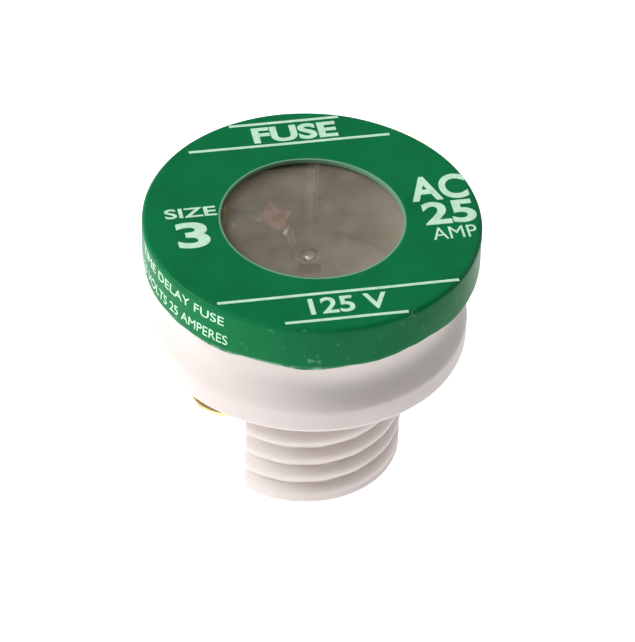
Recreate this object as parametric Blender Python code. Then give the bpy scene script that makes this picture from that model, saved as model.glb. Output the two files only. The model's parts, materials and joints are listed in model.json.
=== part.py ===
"""Plug fuse with a threaded porcelain body, a painted metal cap with a window, and a spring side contact.

The fuse stands on its centre contact: +Z runs up its axis to the cap, and the origin is the middle of
the centre contact's underside. -Y is the front. An azimuth is counted from the front towards -X.
"""

from math import asin, cos, pi, radians, sin, sqrt, tau

import bmesh
import bpy
from mathutils import Matrix, Vector

MM = 0.001

# ---- Driving dimensions -------------------------------------------------------------------------------

HEIGHT = 27.4 * MM                # underside of the centre contact to the top of the cap
FIT = 0.25 * MM                   # gap between pieces that sit on or in each other
SEGMENTS = 48                     # sides of a full turn

# Cap
CAP_RADIUS = 15.0 * MM
CAP_SHEET = 0.4 * MM
CAP_SKIRT = 4.55 * MM             # height of the cap, top face to crimped edge
CAP_EDGE_ROUND = 0.5 * MM
CAP_LIP = 0.6 * MM                # how far the crimped edge reaches in under the head
WINDOW_OPENING = 8.1 * MM         # radius of the hole in the cap

# Window and gasket
WINDOW_MARGIN = 1.75 * MM         # porcelain rim left uncovered around the window
WINDOW_SHEET = 0.3 * MM
GASKET_MARGIN = 0.55 * MM         # porcelain rim left uncovered around the gasket
GASKET_WIDTH = 2.5 * MM
GASKET_SHEET = 0.4 * MM

# Porcelain body
NECK_STEP = 0.65 * MM             # how far the neck stands in from the rim that the cap is crimped on
NECK_DROP = 5.2 * MM              # top of the cap to the start of the groove
GROOVE_DROP = 10.4 * MM           # top of the cap to the end of the groove
GROOVE_DEPTH = 0.85 * MM
FLANGE_STANDOUT = 0.55 * MM       # how far the flange stands out past the neck
FLANGE_DROP = 12.75 * MM          # top of the cap to the flange's underside
FLANGE_ROUND = 0.6 * MM
CHAMBER_WALL = 1.85 * MM          # wall left behind the groove
CHAMBER_DROP = 11.0 * MM          # top of the cap to the chamber's floor
BORE_RADIUS = 3.6 * MM            # narrow bore down the shank
BASE_WEB = 2.0 * MM               # porcelain left under the bore

# Threaded shank
THREAD_RADIUS = 8.85 * MM
THREAD_DEPTH = 0.55 * MM
THREAD_PITCH = 25.4 * MM / 12
THREAD_START = 1.7 * MM           # height at which the groove's middle passes the +X side
THREAD_ROWS = 6                   # rings of points in each turn of the thread
THREAD_FADE = 1.0 * MM            # length over which the groove runs out at either end
SHANK_END_ROUND = 0.5 * MM
FLAT_DISTANCE = 5.1 * MM          # axis to the flat on the -X side
FLAT_LEDGE = 0.1 * MM             # porcelain left between the flat and the flange

# Centre contact, rivet and lug
CONTACT_RADIUS = 4.2 * MM
CONTACT_STANDOUT = 1.1 * MM       # how far it stands below the shank
CONTACT_RECESS = 0.5 * MM
CONTACT_SHEET = 0.4 * MM
CONTACT_FACE = 3.1 * MM           # outer radius of its flat underside
DIMPLE_RADIUS = 2.0 * MM
DIMPLE_DEPTH = 0.7 * MM
RIVET_RADIUS = 0.75 * MM
RIVET_BORE = 0.35 * MM
RIVET_HEAD = 1.35 * MM
RIVET_HEAD_THICK = 0.35 * MM
LUG_SHEET = 0.4 * MM
LUG_WIDTH = 2.0 * MM
LUG_EYE = 1.9 * MM                # radius of the round foot that the rivet goes through
LUG_SETBACK = 2.1 * MM            # axis to the middle of the lug's riser, towards the back
LUG_TOP_DROP = 6.9 * MM           # top of the cap to the lug's tab
LUG_TAB = 2.0 * MM

# Lining
LINER_SHEET = 0.3 * MM
LINER_OVERLAP = radians(20)
LINER_LIFT = 0.75 * MM            # how far the free edge stands in from the wall
LINER_LIFT_TURN = radians(45)
LINER_TOP_GAP = 0.5 * MM
FLOOR_SHEET = 0.4 * MM
FLOOR_HOLE = 3.9 * MM

# Side contact
STRIP_AZIMUTH = radians(120)
STRIP_STANDOFF = 0.55 * MM        # gap between the strip's leg and the lining
STRIP_SHEET = 0.4 * MM
STRIP_WIDTH = 3.4 * MM
STRIP_TOP_DROP = 3.7 * MM
LEAF_GAP = 0.3 * MM               # gap between the leaf's pad and the thread
LEAF_HALF_WIDTH = 1.2 * MM
PAD_AZIMUTH = radians(42)
PAD_HALF_LENGTH = 2.6 * MM
PAD_HALF_WIDTH = 2.1 * MM
LEAF_DROP = 0.95 * MM             # how far the pad hangs below the leaf's root
LEAF_ROWS = 24

# Fuse link, load and solder
LINK_SHEET = 0.25 * MM
LINK_WIDTH = 1.6 * MM
LINK_END_DROP = 5.6 * MM          # top of the cap to the link's lower end on the side strip
LINK_RISE_DROP = 4.0 * MM
LINK_CREST_DROP = 3.1 * MM
LINK_CREST_SHARE = 0.42           # how far along the link its crest is
LINK_SHOULDER_DROP = 4.0 * MM
LINK_SHOULDER_SHARE = 0.86
LINK_TAIL = 1.25 * MM             # flat end that lies on the lug's tab
LOAD_LENGTH = 2.4 * MM
LOAD_WIDTH = 3.0 * MM
LOAD_THICK = 0.8 * MM
SOLDER_RADIUS = 0.85 * MM
SOLDER_HEIGHT = 0.5 * MM

# ---- Heights and radii worked out from them -------------------------------------------------------------

HEAD_TOP = HEIGHT - CAP_SHEET - WINDOW_SHEET - GASKET_SHEET - 3 * FIT
HEAD_RADIUS = CAP_RADIUS - CAP_SHEET - FIT
LIP_TOP = HEIGHT - CAP_SKIRT + CAP_SHEET
NECK_RADIUS = HEAD_RADIUS - NECK_STEP
FLANGE_RADIUS = NECK_RADIUS + FLANGE_STANDOUT
CHAMBER_RADIUS = NECK_RADIUS - GROOVE_DEPTH - CHAMBER_WALL
WINDOW_RADIUS = HEAD_RADIUS - WINDOW_MARGIN
GASKET_OUTER = HEAD_RADIUS - GASKET_MARGIN
FLANGE_UNDERSIDE = HEIGHT - FLANGE_DROP
CHAMBER_FLOOR = HEIGHT - CHAMBER_DROP
SHANK_END = CONTACT_STANDOUT
RECESS_TOP = SHANK_END + CONTACT_RECESS
BORE_FLOOR = RECESS_TOP + BASE_WEB
RIVET_HOLE = RIVET_RADIUS + FIT
STRIP_RADIUS = CHAMBER_RADIUS - FIT - LINER_SHEET - STRIP_STANDOFF - STRIP_SHEET / 2
FOOT_TOP = FLANGE_UNDERSIDE - FIT
LEAF_RADIUS = THREAD_RADIUS + LEAF_GAP + PAD_HALF_WIDTH      # middle line of the leaf
FOOT_REACH = LEAF_RADIUS + LEAF_HALF_WIDTH
LEAF_ROOT = STRIP_AZIMUTH - asin((STRIP_WIDTH / 2 + FIT) / (LEAF_RADIUS - LEAF_HALF_WIDTH))


# ---- Small tools ------------------------------------------------------------------------------------------

def clear_scene():
    for obj in list(bpy.data.objects):
        bpy.data.objects.remove(obj, do_unlink=True)


def make_material(name, color, roughness, metallic=0.0):
    """A Principled material from a linear colour."""
    material = bpy.data.materials.new(name)
    material.use_nodes = True
    shader = material.node_tree.nodes["Principled BSDF"]
    shader.inputs["Base Color"].default_value = (*color, 1.0)
    shader.inputs["Roughness"].default_value = roughness
    shader.inputs["Metallic"].default_value = metallic
    return material


def add_object(name, bm, material=None):
    """Turns the bmesh into an object with its faces pointing outwards."""
    bmesh.ops.remove_doubles(bm, verts=bm.verts, dist=1e-7)
    bmesh.ops.dissolve_degenerate(bm, edges=bm.edges, dist=1e-7)
    bmesh.ops.recalc_face_normals(bm, faces=bm.faces)
    mesh = bpy.data.meshes.new(name)
    bm.to_mesh(mesh)
    bm.free()
    obj = bpy.data.objects.new(name, mesh)
    bpy.context.scene.collection.objects.link(obj)
    if material:
        mesh.materials.append(material)
        mesh.shade_smooth()
        mesh.set_sharp_from_angle(angle=radians(35))
    return obj


def arc(centre, radius, start, end, steps):
    """Points on an arc in the plane of radius and height, both ends included. Angles are in degrees."""
    turns = [radians(start + (end - start) * i / steps) for i in range(steps + 1)]
    return [(centre[0] + radius * cos(t), centre[1] + radius * sin(t)) for t in turns]


def turned_mesh(profile, segments=SEGMENTS):
    """Spins a closed profile of (radius, height) points about the axis."""
    bm = bmesh.new()
    ring = [bm.verts.new((r, 0, z)) for r, z in profile]
    edges = [bm.edges.new((a, b)) for a, b in zip(ring, ring[1:] + ring[:1])]
    bmesh.ops.spin(bm, geom=ring + edges, cent=(0, 0, 0), axis=(0, 0, 1), angle=tau,
                   steps=segments, use_merge=True)
    return bm


def turned(name, profile, material, segments=SEGMENTS):
    return add_object(name, turned_mesh(profile, segments), material)


def plate_mesh(outline, base, thickness):
    """A flat plate: a closed outline of (x, y) points, extruded up from the height base."""
    bm = bmesh.new()
    face = bm.faces.new([bm.verts.new((x, y, base)) for x, y in outline])
    top = bmesh.ops.extrude_face_region(bm, geom=[face])["geom"]
    moved = [v for v in top if isinstance(v, bmesh.types.BMVert)]
    bmesh.ops.translate(bm, verts=moved, vec=(0, 0, thickness))
    return bm


def ribbon_mesh(points, width, thickness):
    """A bent strip: its middle line runs through (along, height) points, and its width lies along Y."""
    path = [Vector(p) for p in points]
    sides = []
    for i, point in enumerate(path):
        before = (point - path[i - 1]).normalized() if i else None
        after = (path[i + 1] - point).normalized() if i + 1 < len(path) else None
        along = ((before or after) + (after or before)).normalized()
        normal = Vector((-along.y, along.x))
        reach = thickness / 2 / normal.dot(Vector((-(after or before).y, (after or before).x)))
        sides.append((point + normal * reach, point - normal * reach))
    outline = [a for a, _ in sides] + [b for _, b in reversed(sides)]
    bm = bmesh.new()
    face = bm.faces.new([bm.verts.new((p.x, -width / 2, p.y)) for p in outline])
    far = bmesh.ops.extrude_face_region(bm, geom=[face])["geom"]
    moved = [v for v in far if isinstance(v, bmesh.types.BMVert)]
    bmesh.ops.translate(bm, verts=moved, vec=(0, width, 0))
    return bm


def rounded_path(corners, radius, steps=3):
    """The corner points with each inner corner replaced by a short arc-like bend."""
    path = [Vector(p) for p in corners]
    out = [path[0]]
    for before, corner, after in zip(path, path[1:], path[2:]):
        start = corner + (before - corner).normalized() * radius
        end = corner + (after - corner).normalized() * radius
        for i in range(steps + 1):
            t = i / steps
            out.append((1 - t) ** 2 * start + 2 * t * (1 - t) * corner + t ** 2 * end)
    return out + [path[-1]]


def cutter(name, bm):
    obj = add_object(name, bm)
    obj.hide_render = True
    obj.display_type = "WIRE"
    return obj


def add_boolean(obj, tool, operation):
    modifier = obj.modifiers.new(operation.lower() + " " + tool.name, "BOOLEAN")
    modifier.operation = operation
    modifier.solver = "EXACT"
    modifier.object = tool


def cut(obj, tool):
    add_boolean(obj, tool, "DIFFERENCE")


def join(obj, tool):
    add_boolean(obj, tool, "UNION")


def block_mesh(low, high):
    bm = bmesh.new()
    bmesh.ops.create_cube(bm, size=1)
    size = Vector(high) - Vector(low)
    middle = (Vector(high) + Vector(low)) / 2
    bmesh.ops.scale(bm, vec=size, verts=bm.verts)
    bmesh.ops.translate(bm, vec=middle, verts=bm.verts)
    return bm


def at_azimuth(azimuth, radius):
    """The point at this azimuth and radius, in the plane."""
    return Vector((-radius * sin(azimuth), -radius * cos(azimuth), 0))


def turn_to(azimuth):
    """Turns a shape laid out along +X so that +X points along the azimuth."""
    return Matrix.Rotation(-pi / 2 - azimuth, 4, "Z")


# ---- Materials --------------------------------------------------------------------------------------------

def make_materials():
    return {
        "cap_paint": make_material("cap_paint", (0.005, 0.16, 0.055), 0.35),
        "mica": make_material("mica", (0.55, 0.52, 0.46), 0.15),
        "fibre": make_material("fibre", (0.30, 0.25, 0.19), 0.8),
        "porcelain": make_material("porcelain", (0.80, 0.76, 0.74), 0.3),
        "brass": make_material("brass", (0.62, 0.44, 0.18), 0.3, 1.0),
        "zinc": make_material("zinc", (0.55, 0.55, 0.55), 0.35, 1.0),
        "load": make_material("load", (0.40, 0.20, 0.14), 0.5, 1.0),
        "solder": make_material("solder", (0.62, 0.62, 0.60), 0.3, 1.0),
    }


# ---- Cap, window and gasket ---------------------------------------------------------------------------------

def make_cap(material):
    """Pressed sheet: top ring, rounded edge, skirt, and a lip crimped in under the head."""
    inner = CAP_RADIUS - CAP_SHEET
    inner_round = CAP_EDGE_ROUND - CAP_SHEET
    top = HEIGHT
    bottom = HEIGHT - CAP_SKIRT
    lip_round = CAP_SHEET + 0.1 * MM
    corner = (CAP_RADIUS - CAP_EDGE_ROUND, top - CAP_EDGE_ROUND)
    lip_corner = (CAP_RADIUS - lip_round, bottom + lip_round)
    profile = [(WINDOW_OPENING, top)]
    profile += arc(corner, CAP_EDGE_ROUND, 90, 0, 4)
    profile += arc(lip_corner, lip_round, 0, -90, 3)
    profile += [(inner - CAP_LIP, bottom), (inner - CAP_LIP, LIP_TOP)]
    profile += arc(lip_corner, lip_round - CAP_SHEET, -90, 0, 2)
    profile += arc((inner - inner_round, top - CAP_SHEET - inner_round), inner_round, 0, 90, 3)
    profile += [(WINDOW_OPENING, top - CAP_SHEET)]
    turned("cap", profile, material)


def make_disc(name, top, thickness, outer, material, inner=0.0):
    profile = [(inner, top), (outer, top), (outer, top - thickness), (inner, top - thickness)]
    return turned(name, profile, material)


# ---- Porcelain body -----------------------------------------------------------------------------------------

def groove_profile(rows=7):
    """The shallow hollow between neck and flange, as a smooth curve."""
    points = []
    for i in range(rows + 1):
        t = i / rows
        radius = NECK_RADIUS + (FLANGE_RADIUS - NECK_RADIUS) * t - GROOVE_DEPTH * sin(pi * t) ** 1.5
        points.append((radius, HEIGHT - NECK_DROP - (GROOVE_DROP - NECK_DROP) * t))
    return points


def thread_top():
    return FLANGE_UNDERSIDE - THREAD_PITCH / THREAD_ROWS


def thread_bottom():
    return SHANK_END + SHANK_END_ROUND


def thread_heights():
    rows = round((thread_top() - thread_bottom()) / THREAD_PITCH * THREAD_ROWS)
    step = (thread_top() - thread_bottom()) / rows
    return [thread_top() - step * i for i in range(rows + 1)]


def thread_cut(angle, height):
    """How deep the right-hand groove is at this angle and height."""
    phase = (height - THREAD_START) / THREAD_PITCH - angle / tau
    shape = (0.5 + 0.5 * cos(tau * phase)) ** 1.6
    fade = min(1.0, (thread_top() - height) / THREAD_FADE, (height - thread_bottom()) / THREAD_FADE)
    return THREAD_DEPTH * shape * max(0.0, fade)


def body_profile():
    """Outer side from the head's top down to the shank's end, then up the inside."""
    chamfer = 0.3 * MM
    profile = [(CHAMBER_RADIUS, HEAD_TOP), (HEAD_RADIUS - chamfer, HEAD_TOP)]
    profile += [(HEAD_RADIUS, HEAD_TOP - chamfer), (HEAD_RADIUS, LIP_TOP + FIT + chamfer / 3)]
    profile += [(NECK_RADIUS, LIP_TOP + FIT)]
    profile += groove_profile()
    flange_corner = (FLANGE_RADIUS - FLANGE_ROUND, FLANGE_UNDERSIDE + FLANGE_ROUND)
    profile += arc(flange_corner, FLANGE_ROUND, 0, -90, 3)
    profile += [(THREAD_RADIUS, FLANGE_UNDERSIDE)]
    profile += [(THREAD_RADIUS, z) for z in thread_heights()]
    end_corner = (THREAD_RADIUS - SHANK_END_ROUND, SHANK_END + SHANK_END_ROUND)
    profile += arc(end_corner, SHANK_END_ROUND, 0, -90, 3)[1:]
    recess = CONTACT_RADIUS + FIT
    profile += [(recess, SHANK_END), (recess, RECESS_TOP), (RIVET_HOLE, RECESS_TOP)]
    profile += [(RIVET_HOLE, BORE_FLOOR), (BORE_RADIUS, BORE_FLOOR)]
    profile += [(BORE_RADIUS, CHAMBER_FLOOR), (CHAMBER_RADIUS, CHAMBER_FLOOR)]
    return profile


def cut_thread(bm):
    """Sinks the helical groove into the shank's outer wall."""
    for vert in bm.verts:
        radius = vert.co.xy.length
        if abs(radius - THREAD_RADIUS) > FIT or vert.co.z > FLANGE_UNDERSIDE - FIT:
            continue
        angle = Vector((1, 0)).angle_signed(vert.co.xy, 0) * -1
        sink = thread_cut(angle, vert.co.z)
        vert.co.xy *= (radius - sink) / radius


def make_body(material):
    bm = turned_mesh(body_profile())
    bmesh.ops.remove_doubles(bm, verts=bm.verts, dist=1e-7)
    cut_thread(bm)
    body = add_object("body", bm, material)
    reach = THREAD_RADIUS * 2
    flat = block_mesh((-reach, -reach, -SHANK_END), (-FLAT_DISTANCE, reach, FLANGE_UNDERSIDE - FLAT_LEDGE))
    cut(body, cutter("flat_cutter", flat))
    slot_reach = STRIP_SHEET / 2 + FIT
    slot_half = STRIP_WIDTH / 2 + FIT
    slot = block_mesh((STRIP_RADIUS - slot_reach, -slot_half, FLANGE_UNDERSIDE - 2 * FIT),
                      (STRIP_RADIUS + slot_reach, slot_half, CHAMBER_FLOOR + 2 * FIT))
    slot.transform(turn_to(STRIP_AZIMUTH))
    cut(body, cutter("slot_cutter", slot))
    return body


# ---- Lining ---------------------------------------------------------------------------------------------------

def make_liner(material):
    """A sheet rolled into a sleeve. Its inner end lifts off the wall and laps over its outer end."""
    start = pi / 2 + LINER_OVERLAP
    sweep = tau + LINER_OVERLAP
    steps = 54
    middle = CHAMBER_RADIUS - FIT - LINER_SHEET / 2
    outer, inner = [], []
    for i in range(steps + 1):
        turn = sweep * i / steps
        lift = max(0.0, (turn - sweep + LINER_LIFT_TURN) / LINER_LIFT_TURN)
        radius = middle - LINER_LIFT * lift * lift * (3 - 2 * lift)
        angle = start - turn
        outer.append(((radius + LINER_SHEET / 2) * cos(angle), (radius + LINER_SHEET / 2) * sin(angle)))
        inner.append(((radius - LINER_SHEET / 2) * cos(angle), (radius - LINER_SHEET / 2) * sin(angle)))
    base = CHAMBER_FLOOR + FLOOR_SHEET + 2 * FIT
    height = HEAD_TOP - LINER_TOP_GAP - base
    add_object("liner_sleeve", plate_mesh(outer + inner[::-1], base, height), material)


def make_floor_disc(material):
    top = CHAMBER_FLOOR + FIT + FLOOR_SHEET
    disc = make_disc("floor_disc", top, FLOOR_SHEET, CHAMBER_RADIUS - FIT, material, FLOOR_HOLE)
    slot_reach = STRIP_SHEET / 2 + FIT
    slot_half = STRIP_WIDTH / 2 + FIT
    slot = block_mesh((STRIP_RADIUS - slot_reach, -slot_half, CHAMBER_FLOOR - FIT),
                      (STRIP_RADIUS + slot_reach, slot_half, top + FIT))
    slot.transform(turn_to(STRIP_AZIMUTH))
    cut(disc, cutter("disc_slot_cutter", slot))


# ---- Side contact ---------------------------------------------------------------------------------------------

def make_side_strip(material):
    """An upright leg through the flange, with a foot bent outwards below it."""
    foot = FOOT_TOP - STRIP_SHEET / 2
    corners = [(FOOT_REACH, foot), (STRIP_RADIUS, foot), (STRIP_RADIUS, HEIGHT - STRIP_TOP_DROP)]
    bm = ribbon_mesh(rounded_path(corners, STRIP_SHEET), STRIP_WIDTH, STRIP_SHEET)
    bm.transform(turn_to(STRIP_AZIMUTH))
    add_object("side_contact_strip", bm, material)


def leaf_half_width(along, length):
    """Half the leaf's width: a slim arm that widens into an oval pad."""
    from_pad = (along - length + PAD_HALF_LENGTH) / PAD_HALF_LENGTH
    pad = PAD_HALF_WIDTH * sqrt(max(0.0, 1 - from_pad ** 2))
    return pad if from_pad > 0 else max(LEAF_HALF_WIDTH, pad)


def make_leaf(material):
    """A springy leaf that follows the flange round and hangs lower towards its free end."""
    length = (LEAF_ROOT - PAD_AZIMUTH) * LEAF_RADIUS + PAD_HALF_LENGTH
    root = at_azimuth(LEAF_ROOT, LEAF_RADIUS) + Vector((0, 0, FOOT_TOP - STRIP_SHEET / 2))
    bm = bmesh.new()
    rows = []
    for i in range(LEAF_ROWS + 1):
        # rows crowd towards the tip, where the outline is round
        along = length * sin(pi / 2 * i / LEAF_ROWS)
        half = max(leaf_half_width(along, length), 0.12 * MM)
        azimuth = LEAF_ROOT - along / LEAF_RADIUS
        share = along / length
        drop = LEAF_DROP * (1.5 * share - 0.5 * share ** 3)
        row = []
        for side in (-1, 1):
            place = at_azimuth(azimuth, LEAF_RADIUS + side * half)
            for level in (FOOT_TOP, FOOT_TOP - STRIP_SHEET):
                row.append(bm.verts.new(place + Vector((0, 0, level - drop)) - root))
        rows.append(row)
    for near, far in zip(rows, rows[1:]):
        for a, b in ((0, 2), (2, 3), (3, 1), (1, 0)):
            bm.faces.new((near[a], near[b], far[b], far[a]))
    for end in (rows[0], rows[-1]):
        bm.faces.new((end[0], end[2], end[3], end[1]))
    leaf = add_object("side_contact_leaf", bm, material)
    leaf.location = root


# ---- Centre contact, rivet and lug ----------------------------------------------------------------------------

def make_centre_contact(material):
    """A dished disc with a flat underside and a dimple for the rivet's head."""
    rim = RECESS_TOP - FIT
    hole = RIVET_HOLE
    slope = DIMPLE_RADIUS - 0.5 * MM
    profile = [(hole, DIMPLE_DEPTH), (slope, DIMPLE_DEPTH), (DIMPLE_RADIUS, 0), (CONTACT_FACE, 0)]
    profile += [(CONTACT_RADIUS, rim - CONTACT_SHEET), (CONTACT_RADIUS, rim), (CONTACT_RADIUS - CONTACT_SHEET, rim)]
    profile += [(CONTACT_FACE - CONTACT_SHEET / 3, CONTACT_SHEET)]
    profile += [(DIMPLE_RADIUS + CONTACT_SHEET / 3, CONTACT_SHEET)]
    profile += [(slope + CONTACT_SHEET / 3, DIMPLE_DEPTH + CONTACT_SHEET), (hole, DIMPLE_DEPTH + CONTACT_SHEET)]
    turned("centre_contact", profile, material)


def make_rivet(material):
    """A tubular rivet through the centre contact, the porcelain base and the lug's foot."""
    head_top = DIMPLE_DEPTH - FIT
    head_bottom = head_top - RIVET_HEAD_THICK
    flare_bottom = BORE_FLOOR + LUG_SHEET + 2 * FIT
    flare_top = flare_bottom + RIVET_HEAD_THICK
    profile = [(RIVET_BORE, head_bottom), (RIVET_HEAD * 0.85, head_bottom), (RIVET_HEAD, head_top)]
    profile += [(RIVET_RADIUS, head_top), (RIVET_RADIUS, flare_bottom), (RIVET_HEAD, flare_bottom)]
    profile += [(RIVET_HEAD * 0.85, flare_top), (RIVET_BORE, flare_top)]
    turned("centre_rivet", profile, material, SEGMENTS // 2)


def make_lug(material):
    """A foot under the rivet's flare, a riser up the bore, and a tab bent to the front."""
    foot = BORE_FLOOR + FIT + LUG_SHEET / 2
    tab = HEIGHT - LUG_TOP_DROP - LUG_SHEET / 2
    corners = [(-RIVET_HEAD, foot), (LUG_SETBACK, foot), (LUG_SETBACK, tab), (LUG_SETBACK - LUG_TAB, tab)]
    bm = ribbon_mesh(rounded_path(corners, LUG_SHEET), LUG_WIDTH, LUG_SHEET)
    bm.transform(Matrix.Rotation(pi / 2, 4, "Z"))
    lug = add_object("centre_lug", bm, material)
    eye = turned_mesh([(0, foot + LUG_SHEET / 2), (LUG_EYE, foot + LUG_SHEET / 2), (LUG_EYE, foot - LUG_SHEET / 2),
                       (0, foot - LUG_SHEET / 2)], SEGMENTS // 2)
    join(lug, cutter("lug_eye", eye))
    hole = turned_mesh([(0, foot + LUG_SHEET), (RIVET_HOLE, foot + LUG_SHEET), (RIVET_HOLE, foot - LUG_SHEET),
                        (0, foot - LUG_SHEET)], SEGMENTS // 2)
    cut(lug, cutter("lug_hole_cutter", hole))


# ---- Fuse link, load and solder -------------------------------------------------------------------------------

def link_frame():
    """Start of the link on the side strip, its direction towards the lug, and the distance between them."""
    start = at_azimuth(STRIP_AZIMUTH, STRIP_RADIUS - STRIP_SHEET / 2 - 2 * FIT - LINK_SHEET / 2)
    end = Vector((0, LUG_SETBACK, 0))
    return start, (end - start).normalized(), (end - start).length


def link_matrix():
    """Places a shape laid out in the (along, height) plane: +X along the link, +Z up."""
    start, along, _ = link_frame()
    across = Vector((0, 0, 1)).cross(along)
    matrix = Matrix((along, across, Vector((0, 0, 1)))).transposed().to_4x4()
    matrix.translation = start
    return matrix


def link_corners():
    """The link's middle line: up the side strip, over a crest under the load, and down to the lug's tab."""
    _, _, distance = link_frame()
    span = distance - LINK_TAIL
    tab_top = HEIGHT - LUG_TOP_DROP
    return [
        (0, HEIGHT - LINK_END_DROP),
        (0, HEIGHT - LINK_RISE_DROP),
        (LINK_CREST_SHARE * span, HEIGHT - LINK_CREST_DROP),
        (LINK_SHOULDER_SHARE * span, HEIGHT - LINK_SHOULDER_DROP),
        (span, tab_top + FIT + LINK_SHEET / 2),
        (distance, tab_top + FIT + LINK_SHEET / 2),
    ]


def make_link(material):
    bm = ribbon_mesh(rounded_path(link_corners(), 0.45 * MM), LINK_WIDTH, LINK_SHEET)
    bm.transform(link_matrix())
    add_object("fuse_link", bm, material)


def make_load(material):
    """A slug that rides on the link, past its crest."""
    corners = [Vector(p) for p in link_corners()]
    crest, shoulder = corners[2], corners[3]
    along = (shoulder - crest).normalized()
    above = Vector((-along.y, along.x))
    middle = (crest + shoulder) / 2 + above * (LINK_SHEET / 2 + FIT + LOAD_THICK / 2)
    bm = block_mesh((-LOAD_LENGTH / 2, -LOAD_WIDTH / 2, -LOAD_THICK / 2), (LOAD_LENGTH / 2, LOAD_WIDTH / 2, LOAD_THICK / 2))
    bmesh.ops.bevel(bm, geom=bm.edges[:], offset=LOAD_THICK / 4, offset_type="OFFSET", segments=2,
                    profile=0.5, affect="EDGES", material=-1)
    tilt = Vector((1, 0)).angle_signed(along)
    bm.transform(Matrix.Rotation(tilt, 4, "Y"))
    bmesh.ops.translate(bm, verts=bm.verts, vec=(middle.x, 0, middle.y))
    bm.transform(link_matrix())
    add_object("link_load", bm, material)


def solder_mesh():
    """A low dome with a flat underside at the origin."""
    profile = [(0, 0), (SOLDER_RADIUS, 0)]
    profile += [(SOLDER_RADIUS * cos(t), SOLDER_HEIGHT * sin(t)) for t in (pi / 8, pi / 4, 3 * pi / 8)]
    profile += [(0, SOLDER_HEIGHT)]
    return turned_mesh(profile, SEGMENTS // 3)


def make_solder(material):
    gap = LINK_SHEET / 2 + FIT
    on_strip = solder_mesh()
    on_strip.transform(Matrix.Rotation(pi / 2, 4, "Y"))
    middle = HEIGHT - LINK_END_DROP + SOLDER_RADIUS / 2
    bmesh.ops.translate(on_strip, verts=on_strip.verts, vec=(gap, 0, middle))
    on_strip.transform(link_matrix())
    add_object("side_solder", on_strip, material)
    on_lug = solder_mesh()
    tip = Vector(link_corners()[-1])
    bmesh.ops.translate(on_lug, verts=on_lug.verts, vec=(tip.x, 0, tip.y + gap))
    on_lug.transform(link_matrix())
    add_object("centre_solder", on_lug, material)


def main():
    clear_scene()
    materials = make_materials()
    make_cap(materials["cap_paint"])
    make_disc("window", HEIGHT - CAP_SHEET - FIT, WINDOW_SHEET, WINDOW_RADIUS, materials["mica"])
    gasket_top = HEIGHT - CAP_SHEET - WINDOW_SHEET - 2 * FIT
    make_disc("window_gasket", gasket_top, GASKET_SHEET, GASKET_OUTER, materials["fibre"],
              GASKET_OUTER - GASKET_WIDTH)
    make_body(materials["porcelain"])
    make_liner(materials["fibre"])
    make_floor_disc(materials["fibre"])
    make_side_strip(materials["brass"])
    make_leaf(materials["brass"])
    make_centre_contact(materials["brass"])
    make_rivet(materials["brass"])
    make_lug(materials["brass"])
    make_link(materials["zinc"])
    make_load(materials["load"])
    make_solder(materials["solder"])


main()
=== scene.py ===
"""Plug fuse: the finished pieces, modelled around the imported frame, and the studio they stand in.

Lengths are metres. +Z runs up the fuse's axis to the cap, -Y is the front, and the origin is the middle
of the centre contact's underside. An azimuth is counted from the front towards -X.
"""

import json
from math import atan2, cos, pi, radians, sin, sqrt, tau

import bmesh
import bpy
from bpy.props import FloatProperty, FloatVectorProperty, PointerProperty
from mathutils import Matrix, Vector, noise


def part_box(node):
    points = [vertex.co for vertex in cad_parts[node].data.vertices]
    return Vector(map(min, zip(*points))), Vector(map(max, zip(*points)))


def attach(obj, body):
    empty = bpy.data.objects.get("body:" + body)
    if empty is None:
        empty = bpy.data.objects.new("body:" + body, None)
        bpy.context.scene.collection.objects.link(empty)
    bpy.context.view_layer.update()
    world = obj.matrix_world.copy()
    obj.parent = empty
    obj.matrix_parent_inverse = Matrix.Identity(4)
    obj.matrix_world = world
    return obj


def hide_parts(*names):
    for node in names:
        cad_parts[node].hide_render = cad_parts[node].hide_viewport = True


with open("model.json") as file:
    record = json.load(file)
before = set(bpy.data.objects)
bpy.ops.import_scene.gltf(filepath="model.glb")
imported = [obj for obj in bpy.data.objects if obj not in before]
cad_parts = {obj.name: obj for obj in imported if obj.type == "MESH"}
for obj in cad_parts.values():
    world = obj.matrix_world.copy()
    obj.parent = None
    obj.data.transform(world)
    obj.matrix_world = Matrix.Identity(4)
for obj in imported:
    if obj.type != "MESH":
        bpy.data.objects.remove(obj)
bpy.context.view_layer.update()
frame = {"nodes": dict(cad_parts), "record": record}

bl_info = {
    "name": "Plug Fuse",
    "version": (1, 0, 0),
    "blender": (4, 5, 0),
    "location": "3D View > Sidebar > Plug Fuse",
    "description": "Builds a porcelain plug fuse with an enamelled cap, and the studio it stands in",
    "category": "Add Mesh",
}

MM = 0.001
UP = Vector((0, 0, 1))


# ---- Sizes read from the frame -------------------------------------------------------------------

def radii(node, low=-1.0, high=1.0):
    """Distances from the axis of a CAD node's corners between two heights."""
    corners = (v.co for v in frame["nodes"][node].data.vertices)
    return [co.xy.length for co in corners if low <= co.z <= high]


def heights(node):
    low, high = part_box(node)
    return low.z, high.z


def mount_height(name):
    """Height of a mount of the record."""
    return next(m["pos_m"][2] for m in frame["record"]["mounts"] if m["name"] == name)


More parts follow.
